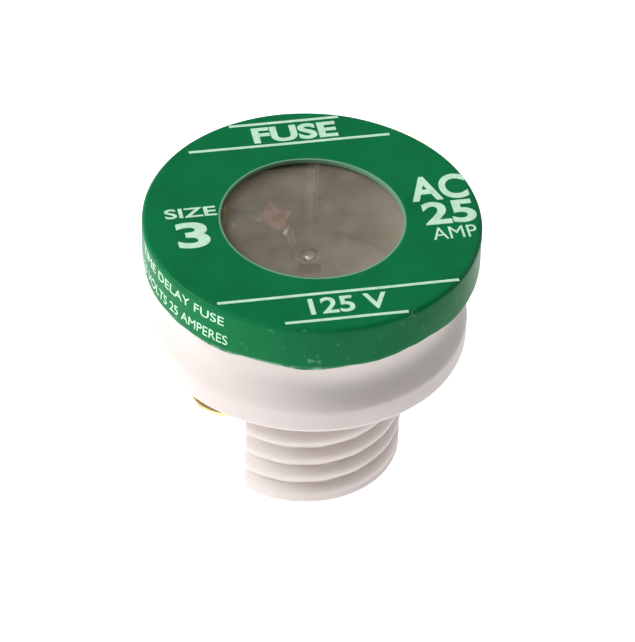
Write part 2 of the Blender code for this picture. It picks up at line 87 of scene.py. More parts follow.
SKIRT_END, TOP = heights("cap")
CAP_RADIUS = max(radii("cap"))
OPENING = min(radii("cap"))
PANE_BOTTOM, PANE_TOP = heights("window")
PANE_RADIUS = max(radii("window"))
SHANK_END, HEAD_TOP = heights("body")
FLANGE_UNDERSIDE = mount_height("flange_seat")
HEAD_RADIUS = max(radii("body"))
FLANGE_RADIUS = max(radii("body", FLANGE_UNDERSIDE, TOP - 9 * MM))
WAIST_RADIUS = min(radii("body", TOP - 9 * MM, TOP - 6 * MM))
THREAD_RADIUS = max(radii("body", 0, FLANGE_UNDERSIDE - 0.5 * MM))
CHAMBER_RADIUS = max(radii("floor_disc")) + 0.25 * MM
CHAMBER_FLOOR = heights("floor_disc")[0] - 0.25 * MM
LINER_TOP = heights("liner_sleeve")[1]
LINER_RADIUS = max(radii("liner_sleeve"))
CONTACT_RADIUS = max(radii("centre_contact"))
CONTACT_RIM = heights("centre_contact")[1]
FOOT_TOP = heights("side_contact_leaf")[1]
STRIP_TOP = heights("side_contact_strip")[1]
FOOT_REACH = sqrt(max(radii("side_contact_strip")) ** 2 - (1.7 * MM) ** 2)

# ---- Sizes shared by several pieces, the same as in the CAD --------------------------------------

SHEET = 0.4 * MM                  # brass and cap sheet
FIT = 0.25 * MM
LINER_SHEET = 0.3 * MM
STRIP_AZIMUTH = radians(120)
STRIP_WIDTH = 3.4 * MM
STRIP_RADIUS = LINER_RADIUS - LINER_SHEET - 0.75 * MM
THREAD_PITCH = 25.4 * MM / 12
FLAT_DISTANCE = 5.1 * MM
RIVET_HOLE = 1.0 * MM
BORE_FLOOR = 3.6 * MM
LUG_SETBACK = 2.1 * MM
LUG_TOP = TOP - 6.9 * MM


# ---- Small tools ---------------------------------------------------------------------------------

def at_azimuth(azimuth, radius, height=0.0):
    return Vector((-radius * sin(azimuth), -radius * cos(azimuth), height))


def turn_to(azimuth):
    """Turns a shape laid out along +X so that +X points along the azimuth."""
    return Matrix.Rotation(-pi / 2 - azimuth, 4, "Z")


def smooth(value):
    """0 below 0, 1 above 1, and an even S between."""
    value = min(1.0, max(0.0, value))
    return value * value * (3 - 2 * value)


def soft_min(a, b, blend):
    """The smaller of two lengths, with a rounded change from one to the other."""
    near = max(blend - abs(a - b), 0.0) / blend
    return min(a, b) - near * near * blend / 4


def arc(centre, radius, start, end, steps):
    """Points on an arc in the plane of radius and height. Angles are in degrees."""
    turns = [radians(start + (end - start) * i / steps) for i in range(steps + 1)]
    return [(centre[0] + radius * cos(t), centre[1] + radius * sin(t)) for t in turns]


def line(start, end, steps):
    """Evenly spaced points from start up to, but not including, end."""
    return [tuple(a + (b - a) * i / steps for a, b in zip(start, end)) for i in range(steps)]


def bent(corners, radius, steps=6):
    """The corner points with each inner corner rounded off."""
    path = [Vector(p) for p in corners]
    points = [path[0]]
    for before, corner, after in zip(path, path[1:], path[2:]):
        start = corner + (before - corner).normalized() * radius
        end = corner + (after - corner).normalized() * radius
        for i in range(steps + 1):
            t = i / steps
            points.append((1 - t) ** 2 * start + 2 * t * (1 - t) * corner + t ** 2 * end)
    return points + [path[-1]]


def spun(profile, segments, closed=True):
    """Spins (radius, height) points about the axis."""
    bm = bmesh.new()
    ring = [bm.verts.new((r, 0, z)) for r, z in profile]
    pairs = list(zip(ring, ring[1:])) + ([(ring[-1], ring[0])] if closed else [])
    edges = [bm.edges.new(pair) for pair in pairs]
    bmesh.ops.spin(bm, geom=ring + edges, cent=(0, 0, 0), axis=(0, 0, 1), angle=tau,
                   steps=segments, use_merge=True)
    bmesh.ops.remove_doubles(bm, verts=bm.verts, dist=1e-7)
    bmesh.ops.recalc_face_normals(bm, faces=bm.faces)
    return bm


def band(path, width, strips=4):
    """An open sheet: (along, height) points swept along Y, centred on the path."""
    bm = bmesh.new()
    row = [bm.verts.new((p[0], -width / 2, p[1])) for p in path]
    edges = [bm.edges.new(pair) for pair in zip(row, row[1:])]
    for _ in range(strips):
        made = bmesh.ops.extrude_edge_only(bm, edges=edges)["geom"]
        row = {v for v in made if isinstance(v, bmesh.types.BMVert)}
        edges = [e for e in made if isinstance(e, bmesh.types.BMEdge) and row.issuperset(e.verts)]
        bmesh.ops.translate(bm, verts=list(row), vec=(0, width / strips, 0))
    bmesh.ops.recalc_face_normals(bm, faces=bm.faces)
    return bm


def face(bm, direction):
    """Turns an open sheet's faces so that, taken together, they look along the direction."""
    looks = sum((f.normal * f.calc_area() for f in bm.faces), Vector())
    if looks.dot(direction) < 0:
        bmesh.ops.reverse_faces(bm, faces=bm.faces)
    return bm


def block(low, high):
    bm = bmesh.new()
    bmesh.ops.create_cube(bm, size=1)
    bmesh.ops.scale(bm, vec=Vector(high) - Vector(low), verts=bm.verts)
    bmesh.ops.translate(bm, vec=(Vector(high) + Vector(low)) / 2, verts=bm.verts)
    return bm


def as_object(name, bm):
    mesh = bpy.data.meshes.new(name)
    bm.to_mesh(mesh)
    bm.free()
    obj = bpy.data.objects.new(name, mesh)
    bpy.context.scene.collection.objects.link(obj)
    return obj


def apply_modifiers(obj):
    """Makes what the modifiers show the object's own mesh."""
    shown = obj.evaluated_get(bpy.context.evaluated_depsgraph_get())
    mesh = bpy.data.meshes.new_from_object(shown)
    obj.modifiers.clear()
    obj.data = mesh


def give_thickness(obj, thickness, offset=0.0):
    modifier = obj.modifiers.new("thickness", "SOLIDIFY")
    modifier.thickness = thickness
    modifier.offset = offset
    modifier.use_even_offset = True


def ease_edges(obj, width, angle=50):
    modifier = obj.modifiers.new("eased edges", "BEVEL")
    modifier.width = width
    modifier.segments = 3
    modifier.limit_method = "ANGLE"
    modifier.angle_limit = radians(angle)


def boolean(obj, bm, operation):
    """Cuts the shape from the object, or joins it on."""
    tool = as_object("tool", bm)
    modifier = obj.modifiers.new(operation, "BOOLEAN")
    modifier.operation = operation
    modifier.solver = "EXACT"
    modifier.object = tool
    apply_modifiers(obj)
    bpy.data.objects.remove(tool)


def finish_piece(obj, material, body, slot, *nodes, crease=38):
    """Shades the piece, gives it its material, and puts it on its body in place of its CAD nodes."""
    apply_modifiers(obj)
    obj.data.shade_smooth()
    obj.data.set_sharp_from_angle(angle=radians(crease))
    obj.data.materials.clear()
    obj.data.materials.append(material)
    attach(obj, body)
    if nodes:
        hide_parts(*nodes)
    return obj


# ---- Materials -----------------------------------------------------------------------------------

def linear(colour):
    """Linear red, green and blue of an sRGB hex value."""
    channels = [int(colour[i:i + 2], 16) / 255 for i in (1, 3, 5)]
    return [c / 12.92 if c <= 0.04045 else ((c + 0.055) / 1.055) ** 2.4 for c in channels]


def node(tree, kind, inputs, **settings):
    """Adds a shader node, with its settings, and its inputs as values or as links."""
    made = tree.nodes.new(kind)
    for name, value in settings.items():
        setattr(made, name, value)
    for name, value in inputs.items():
        if isinstance(value, bpy.types.NodeSocket):
            tree.links.new(value, made.inputs[name])
        else:
            made.inputs[name].default_value = value
    return made


def new_material(name, **constants):
    """A Principled material with constants on its shader, with its tree, shader and coordinates."""
    material = bpy.data.materials.new(name)
    material.use_nodes = True
    tree = material.node_tree
    shader = tree.nodes["Principled BSDF"]
    for socket, value in constants.items():
        shader.inputs[socket.replace("_", " ")].default_value = value
    coords = node(tree, "ShaderNodeTexCoord", {}).outputs["Object"]
    return material, tree, shader, coords


def opaque(colour):
    return (*colour, 1.0)


def shade(colour, factor):
    """The colour made lighter or darker, with full alpha."""
    return (*(min(1.0, c * factor) for c in colour), 1.0)


def baked_enamel(colours):
    """Baked enamel on pressed sheet: an even, half-gloss coat with faint clouding and orange peel.

    A painted highlight makes it pale in a ring round the sheared edge of the opening, and it is rubbed along
    the outer edge.
    """
    material, tree, shader, coords = new_material("baked_enamel", Roughness=0.34, Specular_IOR_Level=0.06)
    clouds = node(tree, "ShaderNodeTexNoise", {"Vector": coords, "Scale": 1 / (4.5 * MM), "Detail": 4.0})
    body = node(tree, "ShaderNodeMix", {0: clouds.outputs["Fac"], 6: shade(colours.enamel, 0.78),
                                        7: shade(colours.enamel, 1.24)}, data_type="RGBA")
    # distance from the axis, for the painted highlight: a pale ring round the opening's edge
    flat = node(tree, "ShaderNodeVectorMath", {0: coords, 1: (1, 1, 0)}, operation="MULTIPLY")
    radius = node(tree, "ShaderNodeVectorMath", {0: flat.outputs["Vector"]}, operation="LENGTH")
    rim = node(tree, "ShaderNodeMapRange", {"Value": radius.outputs["Value"],
                                            "From Min": OPENING + 0.08 * MM,
                                            "From Max": OPENING + 0.24 * MM, "To Min": 0.75, "To Max": 0.0},
               interpolation_type="SMOOTHSTEP")
    # painted highlight: the pale enamel colour laid in a ring round the opening
    thin = node(tree, "ShaderNodeMix", {0: rim.outputs["Result"], 6: body.outputs[2],
                                        7: opaque(colours.rubbed_and_highlit_enamel)}, data_type="RGBA")
    # rubbed spots along the rounded outer edge, a millimetre or so long
    edge = node(tree, "ShaderNodeMapRange", {"Value": radius.outputs["Value"],
                                             "From Min": CAP_RADIUS - 0.55 * MM,
                                             "From Max": CAP_RADIUS - 0.1 * MM},
                interpolation_type="SMOOTHSTEP")
    scuffs = node(tree, "ShaderNodeTexNoise", {"Vector": coords, "Scale": 1 / (1.6 * MM), "Detail": 6.0,
                                               "Roughness": 0.7})
    rubbed = node(tree, "ShaderNodeMapRange", {"Value": scuffs.outputs["Fac"], "From Min": 0.60,
                                               "From Max": 0.72,
                                               "To Max": 0.55})
    worn = node(tree, "ShaderNodeMath", {0: edge.outputs["Result"], 1: rubbed.outputs["Result"]},
                operation="MULTIPLY")
    # the crimped edge: paler in patches along the lowest half millimetre of the skirt
    height = node(tree, "ShaderNodeSeparateXYZ", {"Vector": coords})
    crimp = node(tree, "ShaderNodeMapRange", {"Value": height.outputs["Z"],
                                              "From Min": SKIRT_END + 0.5 * MM,
                                              "From Max": SKIRT_END + 0.15 * MM},
                 interpolation_type="SMOOTHSTEP")
    crimp_patches = node(tree, "ShaderNodeMapRange", {"Value": scuffs.outputs["Fac"], "From Min": 0.42,
                                               "From Max": 0.56,
                                               "To Max": 0.8})
    bare = node(tree, "ShaderNodeMath", {0: crimp.outputs["Result"], 1: crimp_patches.outputs["Result"],
                                         2: worn.outputs["Value"]}, operation="MULTIPLY_ADD")
    coat = node(tree, "ShaderNodeMix", {0: bare.outputs["Value"], 6: thin.outputs[2],
                                        7: opaque(colours.rubbed_and_highlit_enamel)}, data_type="RGBA")
    tree.links.new(coat.outputs[2], shader.inputs["Base Color"])
    gloss = node(tree, "ShaderNodeMapRange", {"Value": clouds.outputs["Fac"], "To Min": 0.28,
                                              "To Max": 0.42})
    tree.links.new(gloss.outputs["Result"], shader.inputs["Roughness"])
    peel = node(tree, "ShaderNodeTexNoise", {"Vector": coords, "Scale": 1 / (0.5 * MM), "Detail": 2.0})
    bump = node(tree, "ShaderNodeBump", {"Height": peel.outputs["Fac"], "Strength": 0.5,
                                         "Distance": 0.012 * MM})
    tree.links.new(bump.outputs["Normal"], shader.inputs["Normal"])
    return material


def screen_ink(colours):
    """Pad-printed ink: a matt, pale layer that lets a little of the green through where it is thin."""
    material, tree, shader, coords = new_material("screen_ink", Roughness=0.55, Specular_IOR_Level=0.3)
    thin = node(tree, "ShaderNodeTexNoise", {"Vector": coords, "Scale": 1 / (0.7 * MM), "Detail": 4.0})
    share = node(tree, "ShaderNodeMapRange", {"Value": thin.outputs["Fac"], "From Min": 0.35,
                                              "From Max": 0.75,
                                              "To Max": 0.35})
    ink = node(tree, "ShaderNodeMix", {0: share.outputs["Result"], 6: opaque(colours.ink),
                                       7: opaque(colours.rubbed_and_highlit_enamel)}, data_type="RGBA")
    tree.links.new(ink.outputs[2], shader.inputs["Base Color"])
    return material


def mica_sheet(colours):
    """Split mica: a thin, clear sheet with a grey-brown haze, faint cleavage patches and a soft gloss."""
    material, tree, shader, coords = new_material("mica_sheet", Roughness=0.2, Alpha=0.2, IOR=1.5)
    patches = node(tree, "ShaderNodeTexVoronoi", {"Vector": coords, "Scale": 1 / (3.5 * MM)})
    haze = node(tree, "ShaderNodeTexNoise", {"Vector": coords, "Scale": 1 / (2.2 * MM), "Detail": 5.0})
    share = node(tree, "ShaderNodeMath", {0: patches.outputs["Distance"], 1: haze.outputs["Fac"]},
                 operation="MULTIPLY")
    tint = node(tree, "ShaderNodeMix", {0: share.outputs["Value"], 6: shade(colours.mica, 0.9),
                                        7: shade(colours.mica, 1.25)}, data_type="RGBA")
    tree.links.new(tint.outputs[2], shader.inputs["Base Color"])
    cloud = node(tree, "ShaderNodeMapRange", {"Value": haze.outputs["Fac"], "From Min": 0.3,
                                              "From Max": 0.7,
                                              "To Min": 0.14, "To Max": 0.24})
    tree.links.new(cloud.outputs["Result"], shader.inputs["Alpha"])
    bump = node(tree, "ShaderNodeBump", {"Height": haze.outputs["Fac"], "Strength": 0.4,
                                         "Distance": 0.01 * MM})
    tree.links.new(bump.outputs["Normal"], shader.inputs["Normal"])
    return material


def fired_porcelain(colours):
    """Electrical porcelain, pressed and fired: milky, half matt, faintly pink, with a fine grain."""
    material, tree, shader, coords = new_material("fired_porcelain", Specular_IOR_Level=0.4)
    firing = node(tree, "ShaderNodeTexNoise", {"Vector": coords, "Scale": 1 / (7 * MM), "Detail": 3.0})
    share = node(tree, "ShaderNodeMapRange", {"Value": firing.outputs["Fac"], "From Min": 0.3,
                                              "From Max": 0.7})
    clay = node(tree, "ShaderNodeMix", {0: share.outputs["Result"], 6: opaque(colours.porcelain),
                                        7: opaque(colours.porcelain_blush)}, data_type="RGBA")
    # iron specks a tenth of a millimetre across
    specks = node(tree, "ShaderNodeTexNoise", {"Vector": coords, "Scale": 1 / (0.45 * MM), "Detail": 2.0})
    spot = node(tree, "ShaderNodeMapRange", {"Value": specks.outputs["Fac"], "From Min": 0.74,
                                             "From Max": 0.82,
                                             "To Max": 0.35})
    speckled = node(tree, "ShaderNodeMix", {0: spot.outputs["Result"], 6: clay.outputs[2],
                                            7: shade(colours.porcelain, 0.45)}, data_type="RGBA")
    tree.links.new(speckled.outputs[2], shader.inputs["Base Color"])
    gloss = node(tree, "ShaderNodeMapRange", {"Value": firing.outputs["Fac"], "To Min": 0.34,
                                              "To Max": 0.52})
    tree.links.new(gloss.outputs["Result"], shader.inputs["Roughness"])
    grain = node(tree, "ShaderNodeTexNoise", {"Vector": coords, "Scale": 1 / (0.3 * MM), "Detail": 5.0})
    bump = node(tree, "ShaderNodeBump", {"Height": grain.outputs["Fac"], "Strength": 0.5,
                                         "Distance": 0.015 * MM})
    tree.links.new(bump.outputs["Normal"], shader.inputs["Normal"])
    return material


def vulcanised_fibre(colours):
    """Vulcanised fibre: dull grey-brown board, with short fibres that lie along the sheet.

    A painted highlight runs along the edge of the rolled sheet's free end, at the back of the chamber: a
    pale band where that edge catches the light.
    """
    material, tree, shader, coords = new_material("vulcanised_fibre", Roughness=0.85, Specular_IOR_Level=0.2)
    along = node(tree, "ShaderNodeMapping", {"Vector": coords, "Scale": (1, 1, 5)})
    fibres = node(tree, "ShaderNodeTexNoise", {"Vector": along.outputs["Vector"], "Scale": 1 / (1.1 * MM),
                                               "Detail": 6.0, "Roughness": 0.6})
    board = node(tree, "ShaderNodeMix", {0: fibres.outputs["Fac"], 6: shade(colours.fibre, 0.72),
                                         7: shade(colours.fibre, 1.3)}, data_type="RGBA")
    place = node(tree, "ShaderNodeSeparateXYZ", {"Vector": coords})
    # painted highlight: a pale band along the free end's edge, above the lowest part of the sheet
    strip = node(tree, "ShaderNodeMapRange", {"Value": place.outputs["X"], "From Min": -1.1 * MM,
                                              "From Max": -0.3 * MM}, interpolation_type="SMOOTHSTEP")
    stop = node(tree, "ShaderNodeMapRange", {"Value": place.outputs["X"], "From Min": 0.4 * MM,
                                             "From Max": 0.3 * MM})
    high = node(tree, "ShaderNodeMapRange", {"Value": place.outputs["Z"],
                                             "From Min": CHAMBER_FLOOR + 1.5 * MM,
                                             "From Max": CHAMBER_FLOOR + 5 * MM})
    edge = node(tree, "ShaderNodeMath", {0: strip.outputs["Result"], 1: stop.outputs["Result"]},
                operation="MULTIPLY")
    edge_highlight = node(tree, "ShaderNodeMath", {0: edge.outputs["Value"], 1: high.outputs["Result"]},
                   operation="MULTIPLY")
    sheet = node(tree, "ShaderNodeMix", {0: edge_highlight.outputs["Value"], 6: board.outputs[2],
                                         7: shade(colours.fibre, 1.9)}, data_type="RGBA")
    tree.links.new(sheet.outputs[2], shader.inputs["Base Color"])
    bump = node(tree, "ShaderNodeBump", {"Height": fibres.outputs["Fac"], "Strength": 0.6,
                                         "Distance": 0.03 * MM})
    tree.links.new(bump.outputs["Normal"], shader.inputs["Normal"])
    return material


def tarnished_brass(colours):
    """Rolled brass, stamped and left bare: warm and fairly bright, with brown tarnish in soft patches."""
    material, tree, shader, coords = new_material("tarnished_brass", Metallic=1.0)
    patches = node(tree, "ShaderNodeTexNoise", {"Vector": coords, "Scale": 1 / (1.8 * MM), "Detail": 6.0,
                                                "Roughness": 0.6})
    share = node(tree, "ShaderNodeMapRange", {"Value": patches.outputs["Fac"], "From Min": 0.42,
                                              "From Max": 0.66})
    metal = node(tree, "ShaderNodeMix", {0: share.outputs["Result"], 6: opaque(colours.brass),
                                         7: opaque(colours.brass_tarnish)}, data_type="RGBA")
    tree.links.new(metal.outputs[2], shader.inputs["Base Color"])
    gloss = node(tree, "ShaderNodeMapRange", {"Value": share.outputs["Result"], "To Min": 0.24,
                                              "To Max": 0.46})
    tree.links.new(gloss.outputs["Result"], shader.inputs["Roughness"])
    # rolling lines, drawn coarser than the real ones so that they show
    rolled = node(tree, "ShaderNodeMapping", {"Vector": coords, "Scale": (1, 1, 14)})
    lines = node(tree, "ShaderNodeTexNoise", {"Vector": rolled.outputs["Vector"], "Scale": 1 / (1.2 * MM),
                                              "Detail": 3.0})
    bump = node(tree, "ShaderNodeBump", {"Height": lines.outputs["Fac"], "Strength": 0.4,
                                         "Distance": 0.006 * MM})
    tree.links.new(bump.outputs["Normal"], shader.inputs["Normal"])
    return material


def rolled_zinc(colours):
    """Rolled zinc strip: pale grey, with the dull, slightly patchy bloom that zinc grows in air."""
    material, tree, shader, coords = new_material("rolled_zinc", Metallic=0.6)
    bloom = node(tree, "ShaderNodeTexVoronoi", {"Vector": coords, "Scale": 1 / (0.8 * MM)})
    metal = node(tree, "ShaderNodeMix", {0: bloom.outputs["Distance"], 6: shade(colours.zinc, 1.1),
                                         7: shade(colours.zinc, 0.6)}, data_type="RGBA")
    tree.links.new(metal.outputs[2], shader.inputs["Base Color"])
    gloss = node(tree, "ShaderNodeMapRange", {"Value": bloom.outputs["Distance"], "To Min": 0.25,
                                              "To Max": 0.5})
    tree.links.new(gloss.outputs["Result"], shader.inputs["Roughness"])
    return material


def oxidised_copper(colours):
    """Cast copper slug with a brown oxide skin, brighter where it has been handled."""
    material, tree, shader, coords = new_material("oxidised_copper", Metallic=0.35)
    skin = node(tree, "ShaderNodeTexNoise", {"Vector": coords, "Scale": 1 / (0.9 * MM), "Detail": 5.0})
    share = node(tree, "ShaderNodeMapRange", {"Value": skin.outputs["Fac"], "From Min": 0.38,
                                              "From Max": 0.62})
    metal = node(tree, "ShaderNodeMix", {0: share.outputs["Result"], 6: shade(colours.copper, 1.2),
                                         7: shade(colours.copper, 0.5)}, data_type="RGBA")
    tree.links.new(metal.outputs[2], shader.inputs["Base Color"])
    gloss = node(tree, "ShaderNodeMapRange", {"Value": share.outputs["Result"], "To Min": 0.35,
                                              "To Max": 0.65})
    tree.links.new(gloss.outputs["Result"], shader.inputs["Roughness"])
    bump = node(tree, "ShaderNodeBump", {"Height": skin.outputs["Fac"], "Strength": 0.6,
                                         "Distance": 0.05 * MM})
    tree.links.new(bump.outputs["Normal"], shader.inputs["Normal"])
    return material


def soft_solder(colours):
    """Tin and lead solder, frozen where it ran: a grey, softly shining skin with a slight frost."""
    material, tree, shader, coords = new_material("soft_solder", Metallic=1.0)
    frost = node(tree, "ShaderNodeTexNoise", {"Vector": coords, "Scale": 1 / (0.35 * MM), "Detail": 4.0})
    metal = node(tree, "ShaderNodeMix", {0: frost.outputs["Fac"], 6: shade(colours.solder, 0.75),
                                         7: shade(colours.solder, 1.2)}, data_type="RGBA")
    tree.links.new(metal.outputs[2], shader.inputs["Base Color"])
    gloss = node(tree, "ShaderNodeMapRange", {"Value": frost.outputs["Fac"], "To Min": 0.18,
                                              "To Max": 0.42})
    tree.links.new(gloss.outputs["Result"], shader.inputs["Roughness"])
    bump = node(tree, "ShaderNodeBump", {"Height": frost.outputs["Fac"], "Strength": 0.4,
                                         "Distance": 0.02 * MM})
    tree.links.new(bump.outputs["Normal"], shader.inputs["Normal"])
    return material


def studio_paper(colours):
    """White paper on a light table: matt, lit through from below, with a faint unevenness in its tone."""
    material, tree, shader, coords = new_material("studio_paper", Roughness=0.9, Specular_IOR_Level=0.1)
    tone = node(tree, "ShaderNodeTexNoise", {"Vector": coords, "Scale": 4.0, "Detail": 2.0})
    paper = node(tree, "ShaderNodeMix", {0: tone.outputs["Fac"], 6: shade(colours.floor, 0.99),
                                         7: shade(colours.floor, 1.01)}, data_type="RGBA")
    tree.links.new(paper.outputs[2], shader.inputs["Base Color"])
    tree.links.new(paper.outputs[2], shader.inputs["Emission Color"])
    # the lit part of the table ends a little to the right of the fuse
    place = node(tree, "ShaderNodeSeparateXYZ", {"Vector": coords})
    lit = node(tree, "ShaderNodeMapRange", {"Value": place.outputs["X"], "From Min": 0.036,
                                            "From Max": 0.06,
                                            "To Min": 0.9, "To Max": 0.05}, interpolation_type="SMOOTHSTEP")
    tree.links.new(lit.outputs["Result"], shader.inputs["Emission Strength"])
    return material


# ---- Cap and its print ---------------------------------------------------------------------------

CAP_EDGE_ROUND = 0.42 * MM
CAP_LIP_ROUND = 0.5 * MM
CAP_LIP = 1.0 * MM                # how far the crimped lip reaches in from the skirt


def worked(point, shape):
    """Where a point on a true cap lies once the sheet is pressed and its edge is crimped."""
    around = Vector((point.x, point.y, 0)).normalized()
    turn = atan2(point.y, point.x)
    drop = smooth((TOP - point.z - 1.6 * MM) / (TOP - SKIRT_END - 1.6 * MM))
    ragged = noise.noise(point / (1.3 * MM))
    wave = 1.6 * sin(3 * turn + 3.9) + 0.7 * sin(7 * turn + 2.1) + 0.5 * sin(13 * turn + 0.3) + ragged
    pull = sin(5 * turn + 1.3) + 0.8 * sin(11 * turn)
    swell = noise.noise(point / (5 * MM)) * shape.unevenness * (1 - drop)
    moved = point + UP * (wave * shape.edge_wave / 2 * drop + swell)
    return moved + around * (pull * shape.edge_wave / 4 * drop)


def cap_line():
    """The outer face of the cap, from the opening out, down the skirt and round under the crimp."""
    corner = (CAP_RADIUS - CAP_EDGE_ROUND, TOP - CAP_EDGE_ROUND)
    lip = (CAP_RADIUS - CAP_LIP_ROUND, SKIRT_END + CAP_LIP_ROUND)
    points = line((OPENING, TOP), (corner[0], TOP), 10)
    points += arc(corner, CAP_EDGE_ROUND, 90, 0, 9)
    points += line((CAP_RADIUS, corner[1]), (CAP_RADIUS, lip[1]), 8)[1:]
    points += arc(lip, CAP_LIP_ROUND, 0, -90, 7)
    return points + [(CAP_RADIUS - CAP_LIP, SKIRT_END)]


def make_cap(fuse):
    bm = spun(cap_line(), 288, closed=False)
    for vert in bm.verts:
        vert.co = worked(vert.co, fuse.shape)
    obj = as_object("cap_shell", face(bm, UP))
    give_thickness(obj, SHEET, offset=-1)
    ease_edges(obj, 0.09 * MM)
    return finish_piece(obj, baked_enamel(fuse.colours), "fuse", "cap_paint", "cap")


LABEL_TURN = radians(13)          # the print is turned against the side contact
RULE = 0.32 * MM                  # stroke of the printed rules


def letters(text, stroke):
    """The text as flat faces, 1 high and as wide as the font makes it, centred on the origin."""
    curve = bpy.data.curves.new("letters", "FONT")
    curve.body = text
    curve.offset = stroke
    curve.resolution_u = 5
    helper = bpy.data.objects.new("letters", curve)
    bpy.context.scene.collection.objects.link(helper)
    shown = helper.evaluated_get(bpy.context.evaluated_depsgraph_get())
    mesh = bpy.data.meshes.new_from_object(shown)
    bm = bmesh.new()
    bm.from_mesh(mesh)
    bpy.data.objects.remove(helper)
    bpy.data.meshes.remove(mesh)
    bmesh.ops.remove_doubles(bm, verts=bm.verts, dist=1e-5)
    return bm


def sized(bm, centre, width, height):
    """Fits flat faces to a width and height in metres, about a centre."""
    low = Vector((min(v.co.x for v in bm.verts), min(v.co.y for v in bm.verts), 0))
    high = Vector((max(v.co.x for v in bm.verts), max(v.co.y for v in bm.verts), 0))
    middle = (low + high) / 2
    bmesh.ops.translate(bm, verts=bm.verts, vec=-middle)
    bmesh.ops.scale(bm, vec=(width / (high.x - low.x), height / (high.y - low.y), 1), verts=bm.verts)
    bmesh.ops.translate(bm, verts=bm.verts, vec=(*centre, 0))
    return bm


def rule(left, right, height):
    bm = bmesh.new()
    bmesh.ops.create_grid(bm, x_segments=1, y_segments=1, size=0.5)
    return sized(bm, ((left + right) / 2, height), right - left, RULE)


def printed(bm, place, shape):
    """Cuts flat print into short pieces, gives it its thickness, and lays it on the cap with place."""
    span = [v.co.x for v in bm.verts]
    steps = int((max(span) - min(span)) / (0.5 * MM)) + 1
    for i in range(1, steps):
        at = min(span) + (max(span) - min(span)) * i / steps
        bmesh.ops.bisect_plane(bm, geom=bm.verts[:] + bm.edges[:] + bm.faces[:], dist=1e-7,
                               plane_co=(at, 0, 0), plane_no=(1, 0, 0))
    for vert in bm.verts:
        vert.co.z = -shape.ink_thickness
    top = bmesh.ops.extrude_face_region(bm, geom=bm.faces[:])["geom"]
    raised = [v for v in top if isinstance(v, bmesh.types.BMVert)]
    bmesh.ops.translate(bm, verts=raised, vec=UP * 2 * shape.ink_thickness)
    for vert in bm.verts:
        vert.co = worked(place(vert.co), shape)
    bmesh.ops.recalc_face_normals(bm, faces=bm.faces)
    return bm


def on_top(flat):
    """A point of the label laid on the cap's top face."""
    return Matrix.Rotation(LABEL_TURN, 3, "Z") @ flat + UP * TOP


def on_skirt(flat):
    """A point of the label wrapped round the skirt: x runs to the right, and y is the height."""
    return at_azimuth(-flat.x / CAP_RADIUS, CAP_RADIUS + flat.z, flat.y)


# text, centre (right, away from the front), width and height in millimetres, stroke
TOP_WORDS = [
    ("FUSE", (0.7, 12.0), 7.7, 2.2, 0.035),
    ("125 V", (0.9, -11.7), 6.9, 2.1, 0.02),
    ("SIZE", (-10.5, 2.25), 4.6, 1.3, 0.02),
    ("3", (-10.8, -0.8), 2.9, 3.5, 0.03),
    ("AC", (11.8, 2.45), 5.2, 3.4, 0.03),
    ("25", (12.1, -1.0), 4.7, 3.1, 0.03),
    ("AMP", (12.0, -3.75), 4.0, 1.6, 0),
]
# left end, right end, distance from the middle towards the back
TOP_RULES = [(-9.2, 9.1, 10.5), (-10.3, 11.0, -10.1), (-5.0, 5.8, -13.5), (-5.0, 5.0, 13.6)]
# text, azimuth of its middle in degrees, distance below the top, width and height in millimetres
SKIRT_WORDS = [
    ("TIME DELAY FUSE", 52, 1.15, 12.4, 0.95),
    ("125 VOLTS 25 AMPERES", 52, 3.05, 13.2, 0.95),
]


def make_print(fuse):
    bm = bmesh.new()
    marks = []
    for text, centre, width, height, stroke in TOP_WORDS:
        flat = sized(letters(text, stroke), Vector(centre) * MM, width * MM, height * MM)
        marks.append(printed(flat, on_top, fuse.shape))
    for left, right, height in TOP_RULES:
        marks.append(printed(rule(left * MM, right * MM, height * MM), on_top, fuse.shape))
    for text, azimuth, drop, width, height in SKIRT_WORDS:
        centre = (-radians(azimuth) * CAP_RADIUS, TOP - drop * MM)
        flat = sized(letters(text, 0), centre, width * MM, height * MM)
        marks.append(printed(flat, on_skirt, fuse.shape))
    joined = bpy.data.meshes.new("marks")
    for mark in marks:
        mark.to_mesh(joined)
        mark.free()
        bm.from_mesh(joined)
    bpy.data.meshes.remove(joined)
    obj = as_object("cap_print", bm)
    return finish_piece(obj, screen_ink(fuse.colours), "fuse", "cap_paint")


# ---- Window, gasket and lining -------------------------------------------------------------------

def make_window(fuse):
    """The mica pane, with a slight ripple, and the fibre gasket under its edge."""
    top = line((0, PANE_TOP), (PANE_RADIUS, PANE_TOP), 18)[1:]
    bottom = line((PANE_RADIUS, PANE_BOTTOM), (0, PANE_BOTTOM), 18)[1:]
    profile = [(0, PANE_TOP)] + top + [(PANE_RADIUS, PANE_TOP), (PANE_RADIUS, PANE_BOTTOM)]
    bm = spun(profile + bottom + [(0, PANE_BOTTOM)], 96, closed=False)
    for vert in bm.verts:
        flat = Vector((vert.co.x, vert.co.y, 0))
        vert.co.z += noise.noise(flat / (4 * MM)) * 0.03 * MM
    obj = as_object("window_pane", bm)
    finish_piece(obj, mica_sheet(fuse.colours), "fuse", "mica", "window")
    gasket = frame["nodes"]["window_gasket"]
    gasket.data.materials.clear()
    gasket.data.materials.append(vulcanised_fibre(fuse.colours))


LINER_START = radians(110)        # outer end of the rolled sheet, from +X
LINER_SWEEP = radians(380)
LINER_LIFT = 0.75 * MM            # how far the free end stands in from the wall
LINER_LIFT_TURN = radians(45)


